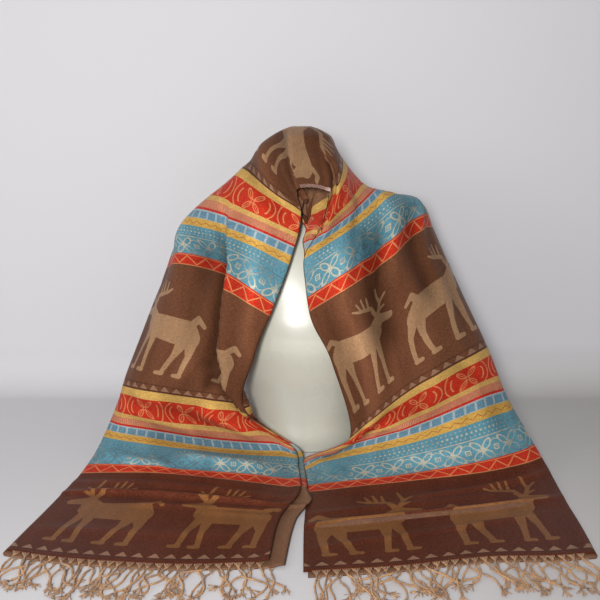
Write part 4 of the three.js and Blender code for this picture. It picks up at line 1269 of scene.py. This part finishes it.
# %% Spin lines into yarn
def spin(name, lines, made_of, sides=6, flatness=0.66):
    """One mesh of yarn from lines, each a list of (x, y, z, thickness, twist) in mm and turns."""
    points = np.array([p for line in lines for p in line], float)
    starts = np.cumsum([0] + [len(line) for line in lines])
    edges = [(k, k + 1) for a, b in zip(starts, starts[1:]) for k in range(a, b - 1)]
    data = bpy.data.meshes.new(name + "_lines")
    data.from_pydata((points[:, :3] * MM).tolist(), edges, [])
    for label, values in (("thickness", points[:, 3] * MM),
                          ("twist", points[:, 4] * 2 * math.pi)):
        data.attributes.new(label, "FLOAT", "POINT").data.foreach_set("value", values)
    guide = bpy.data.objects.new(name + "_lines", data)
    bpy.context.scene.collection.objects.link(guide)
    modifier = guide.modifiers.new("yarn", "NODES")
    modifier.node_group = yarn_tree
    sockets = {s.name: s.identifier for s in yarn_tree.interface.items_tree}
    for label, value in (("Sides", sides), ("Flatness", flatness), ("Yarn", made_of)):
        modifier[sockets[label]] = value
    shown = guide.evaluated_get(bpy.context.evaluated_depsgraph_get())
    cords = bpy.data.objects.new(name, bpy.data.meshes.new_from_object(shown))
    bpy.context.scene.collection.objects.link(cords)
    bpy.data.objects.remove(guide)
    print(name, len(lines), "lines", len(cords.data.polygons), "faces")
    return cords


print("ready to spin")

# %% [markdown]
# Each cord is spun from many threads of slightly different dye. A slow noise mixes a dark and a
# main tone, and a very fine one adds pale fibres and their relief.

# %% Fringe material
def yarn_material(name, main, dark, light):
    made, tree, shader = material(name)
    objects = tree.nodes.new("ShaderNodeTexCoord").outputs["Object"]
    patches = texture(tree, "ShaderNodeTexNoise", objects, 60.0, Detail=2.0)
    fibres = texture(tree, "ShaderNodeTexNoise", objects, 900.0, Detail=2.0)
    tone = (Wire(tree, patches.outputs[0]) - 0.38).math("MULTIPLY", 3.2, clamp=True)
    pale = (Wire(tree, fibres.outputs[0]) - 0.45).math("MULTIPLY", 3.0, clamp=True)
    colour = mix(tree, pale * 0.55, mix(tree, tone, dark, main), light)
    tree.links.new(colour.socket, shader.inputs["Base Color"])
    bump(tree, Wire(tree, fibres.outputs[0]), 0.5, 0.0006, shader)
    shader.inputs["Roughness"].default_value = 0.6
    shader.inputs["Sheen Weight"].default_value = 0.35
    return made


fringe_yarn = yarn_material("fringe_yarn", "be8850", "8d5c34", "ead2a6")
print("fringe yarn is ready")

# %% [markdown]
# ## The fringe
# Every bunch starts as a small fan of threads at the hem, draws together and goes on as a
# twisted cord. The cords lie on the table in loose curls, lean on their neighbours and cross
# them, and fray at the end. A fixed seed keeps each curl in its place.

# %% Hem line and fans of threads
FRINGE_PITCH = 12.6
FRINGE_LENGTH = 60
HEM_POINTS = 90
HEM_MARGIN = 5
THREADS, THREAD_GAP = 5, 2.5
LEAST_HEIGHT = 0.9


def hem_line(side, layer):
    """Points along one layer's hem, from left to right."""
    surface = upper_point if layer == "upper" else under_point
    w = np.linspace(0, FOLDED_WIDTH, HEM_POINTS)
    line = surface(np.full(HEM_POINTS, side * HEM), w)
    return line[np.argsort(line[:, 0])]


def depth_at(line, x):
    return float(np.interp(x, line[:, 0], line[:, 1]))


def fan_of_threads(x, knot_x, knot_y, line, level):
    """Threads that leave the hem side by side and meet in the knot of a cord."""
    lines = []
    for j in range(THREADS):
        foot = x + (j - THREADS // 2) * THREAD_GAP
        foot = min(max(foot, line[0, 0] + 1.5), line[-1, 0] - 1.5)
        lines.append([
            (foot, depth_at(line, foot) + 1.6, level + 0.3, 0.55, 0),
            (foot * 0.7 + knot_x * 0.3, depth_at(line, foot) - 1.6, level + 0.4, 0.6, 0.1),
            (foot * 0.2 + knot_x * 0.8, knot_y + 2.2, max(LEAST_HEIGHT, level * 0.85), 0.8, 0.3),
            (knot_x, knot_y, max(LEAST_HEIGHT, level * 0.7 + 0.3), 0.7, 0.5)])
    return lines


print("hem runs", hem_line(-1, "upper")[[0, -1], 0].round(1).tolist(), "mm")

# %% [markdown]
# A cord leans to one side, sways, and curls more towards its end. It starts at the height of the
# hem and settles on the table, and every third one rides over its neighbours.

# %% Cords and frayed ends
CORD_HALF = 1.75
CORD_STEPS = 22
STEEPEST_TURN = 1.35
TWIST_LENGTH = 7
FRAYS, LOWEST_FRAY = 8, 1.3


def curled_cord(rng, k, knot_x, knot_y, level):
    """One cord from its knot to its end, and the way it heads there."""
    lean = (0.24 if k % 2 else -0.24) + rng.uniform(-0.28, 0.28)
    wave, pace = rng.uniform(0.25, 0.85), rng.uniform(0.7, 1.5)
    phase, curl = rng.uniform(0, 6.3), rng.uniform(-0.9, 0.9)
    length = FRINGE_LENGTH * rng.uniform(0.82, 1.02)
    raised = (k % 3) * 1.5 + rng.uniform(0, 1.0)
    px, py = knot_x, knot_y + 2.5
    cord = []
    for i in range(CORD_STEPS + 1):
        t = i / CORD_STEPS
        turn = lean + wave * (math.sin(6.3 * pace * t + phase) - math.sin(phase)) * t ** 0.4
        turn = max(-STEEPEST_TURN, min(STEEPEST_TURN, turn + curl * t * t))
        half = CORD_HALF * (0.72 + 0.28 * min(1, t * 5))
        rest = half * 0.8 + 0.3 + raised * math.sin(math.pi * min(1, t * 1.15)) ** 2
        z = level * 0.75 + (rest - level * 0.75) * float(smooth(np.array(t * 5)))
        cord.append((px, py, max(z, half + 0.2), half, t * length / TWIST_LENGTH))
        px += math.sin(turn) * length / CORD_STEPS
        py -= math.cos(turn) * length / CORD_STEPS
    return cord, turn


def frayed_end(rng, tip, heading):
    """Loose threads that fan out from the end of a cord."""
    tip_x, tip_y, tip_z = tip
    lines = []
    for _ in range(FRAYS):
        fan = heading + rng.uniform(-0.75, 0.75)
        reach = rng.uniform(7, 15)
        bow = rng.uniform(-3, 3)
        height = max(LOWEST_FRAY, tip_z * rng.uniform(0.4, 1.2))
        lines.append([(tip_x + reach * u * math.sin(fan) + bow * u * u * math.cos(fan),
                       tip_y - reach * u * math.cos(fan) + bow * u * u * math.sin(fan),
                       max(LOWEST_FRAY, tip_z + (height - tip_z) * u), 1.0 - 0.55 * u, u)
                      for u in (-0.3, 0.25, 0.65, 1)])
    return lines


print("cords are about", FRINGE_LENGTH, "mm long")

# %% Four fringes
def fringe_lines(side, layer, seed):
    """All the lines of one fringe: fans of threads, cords and frayed ends."""
    rng = random.Random(seed)
    line = hem_line(side, layer)
    level = line[len(line) // 2, 2]
    count = int((line[-1, 0] - line[0, 0] - 2 * HEM_MARGIN) / FRINGE_PITCH)
    first = (line[0, 0] + line[-1, 0] - (count - 1) * FRINGE_PITCH) / 2
    lines = []
    for k in range(count):
        x = first + k * FRINGE_PITCH + rng.uniform(-1.5, 1.5)
        knot_x = x + rng.uniform(-2, 2)
        knot_y = depth_at(line, x) - rng.uniform(7, 9)
        lines += fan_of_threads(x, knot_x, knot_y, line, level)
        cord, heading = curled_cord(rng, k, knot_x, knot_y, level)
        lines.append(cord)
        lines += frayed_end(rng, cord[-1][:3], heading)
    return lines


fringes = []
for side, side_name in ((-1, "left"), (1, "right")):
    for layer in ("upper", "under"):
        lines = fringe_lines(side, layer, f"{side_name} {layer}")
        piece = spin(f"cords_{side_name}_{layer}", lines, fringe_yarn)
        fringes.append((piece, f"fringe_{side_name}_{layer}"))

# %% [markdown]
# ## Hem stitches
# Where the shawl crosses the neck its free edge shows a row of pale overlock stitches. They are
# short slanting threads, so the same yarn tree makes them.

# %% Stitches
STITCH_FROM, STITCH_TO, STITCH_PITCH = -30, 100, 4.2
STITCH_HALF = 0.42
# along the hem, place across, and height over the cloth, at the three corners of a stitch
STITCH_CORNERS = [(0, 343.5, 0.0), (1.3, 347.0, 0.35), (2.6, 349.8, 0.15)]
stitch_at = np.arange(STITCH_FROM, STITCH_TO, STITCH_PITCH)
corners = []
for ahead, w, height in STITCH_CORNERS:
    spots = stitch_at + ahead, np.full(len(stitch_at), w)
    lift = normal_of(upper_point, *spots, FOLDED_WIDTH, SURFACE_STEP) * (WALL_HALF + height)
    corners.append(upper_point(*spots) + lift)
stitch_lines = [[(*corner[k], STITCH_HALF, 0) for corner in corners]
                for k in range(len(stitch_at))]
stitch_yarn = yarn_material("stitch_yarn", "c9a59a", "a98478", "ead6cc")
stitches = spin("hem_stitches", stitch_lines, stitch_yarn, sides=5, flatness=0.8)

# %% [markdown]
# ## What each piece stands for
# Each piece is tied to the measured model: the solids that it replaces are hidden, and the piece
# moves with the model's root body.

# %% Tie the pieces to the model
CLOTH_NODES = ("shawl_left_end", "shawl_left_drape", "shawl_crown", "shawl_right_drape",
               "shawl_right_end")
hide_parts(*CLOTH_NODES)
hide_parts("dress_form")
for piece, node in fringes:
    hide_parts(node)
for piece, name in [(shawl, "cloth"), (form, "form"), (stitches, "cloth")] + [
        (piece, "fringe") for piece, _ in fringes]:
    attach(piece, "root")
2 * HEM * MM
[stitches] + [piece for piece, _ in fringes]
print("sheet", SHAWL_WIDTH * MM, "by", 2 * HEM * MM, "m")

# %% [markdown]
# ## The studio
# A pale sweep runs from the table up the wall close behind the form. Its material shows only
# the side that faces the form, so a camera behind the wall sees through it to the shawl's back.
# A backdrop picture would be simpler, but it would take no shadow and no bounced light.

# %% Sweep
SWEEP_TABLE_END, SWEEP_ROUND, SWEEP_TOP = 0.135, 0.07, 2.2
SWEEP_FRONT, SWEEP_HALF_WIDTH, ROUND_STEPS = -2.4, 3.0, 12
SWEEP_DROP = 0.0004
profile = [(SWEEP_FRONT, 0.0), (SWEEP_TABLE_END, 0.0)]
profile += [(SWEEP_TABLE_END + SWEEP_ROUND * math.sin(a), SWEEP_ROUND * (1 - math.cos(a)))
            for a in (math.pi / 2 * k / ROUND_STEPS for k in range(1, ROUND_STEPS + 1))]
profile.append((SWEEP_TABLE_END + SWEEP_ROUND, SWEEP_TOP))
sweep_points = np.array([(x, y, z - SWEEP_DROP) for y, z in profile
                         for x in (-SWEEP_HALF_WIDTH, SWEEP_HALF_WIDTH)])
sweep_faces = [(2 * k, 2 * k + 1, 2 * k + 3, 2 * k + 2) for k in range(len(profile) - 1)]
sweep_piece = mesh_piece("studio_sweep", sweep_points, sweep_faces)
paper, tree, shader = material("pale_sweep")
parts = tree.nodes.new("ShaderNodeSeparateXYZ")
tree.links.new(tree.nodes.new("ShaderNodeTexCoord").outputs["Object"], parts.inputs[0])
# The table part of the sweep is painted darker towards the right, and a little darker than the
# wall: a painted shade of the room's light.
painted_shade_rightward = (Wire(tree, parts.outputs[0]) + 0.1).math("MULTIPLY", 1.6, clamp=True)
wall = (Wire(tree, parts.outputs[2]) + 0.02).math("MULTIPLY", 9.0, clamp=True)
tone = mix(tree, wall, mix(tree, painted_shade_rightward, "c6c4c6", "aca8a5"),
           mix(tree, painted_shade_rightward, "cccbce", "cbcace"))
tree.links.new(tone.socket, shader.inputs["Base Color"])
shader.inputs["Roughness"].default_value = 0.75
clear, one_way = (tree.nodes.new(f"Shader{k}") for k in ("NodeBsdfTransparent", "NodeMixShader"))
behind = tree.nodes.new("ShaderNodeNewGeometry").outputs["Backfacing"]
for out, into in ((behind, one_way.inputs[0]), (shader.outputs[0], one_way.inputs[1]),
                  (clear.outputs[0], one_way.inputs[2]),
                  (one_way.outputs[0], tree.nodes["Material Output"].inputs["Surface"])):
    tree.links.new(out, into)
sweep_piece.data.materials.append(paper)
sweep_piece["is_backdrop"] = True
print("sweep", len(sweep_faces), "faces")

# %% [markdown]
# The light is soft. A tall lamp stands in front, a little to the left, and draws the long
# highlight on the plastic. A window on the left adds a small share, and a pale room fills in the
# rest. One strong lamp would give hard shadows that the photograph doesn't have.

# %% Lights
def area_light(name, place, aim, size, power, colour):
    """A rectangular lamp at a place, turned towards its aim."""
    data = bpy.data.lights.new(name, "AREA")
    data.shape, data.size, data.size_y = "RECTANGLE", *size
    data.energy, data.color = power, colour
    light = bpy.data.objects.new(name, data)
    light.location = place
    direction = np.array(aim) - np.array(place)
    light.rotation_euler = (math.acos(-direction[2] / np.linalg.norm(direction)), 0,
                            math.atan2(direction[1], direction[0]) - math.pi / 2)
    bpy.context.scene.collection.objects.link(light)


ROOM_COLOUR, ROOM_LIGHT = (0.78, 0.8, 0.84, 1), 0.38
area_light("key", (-0.22, -1.75, 0.85), (0, 0, 0.22), (0.2, 0.55), 29, (1, 0.985, 0.96))
area_light("window", (-2.0, -1.2, 1.0), (0, 0, 0.2), (0.8, 0.8), 9, (0.97, 0.98, 1))
world = bpy.data.worlds.new("pale_room")
world.use_nodes = True
background = world.node_tree.nodes["Background"]
background.inputs["Color"].default_value = ROOM_COLOUR
background.inputs["Strength"].default_value = ROOM_LIGHT
bpy.context.scene.world = world
bpy.context.scene.view_settings.view_transform = "Standard"

# %% [markdown]
# ## Sizes
# The size of this model is printed. It differs from the measured model by the curls of the
# fringe.

# %% Sizes
bpy.context.view_layer.update()
low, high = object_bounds()
print("visual model", [round(v, 3) for v in low], [round(v, 3) for v in high])
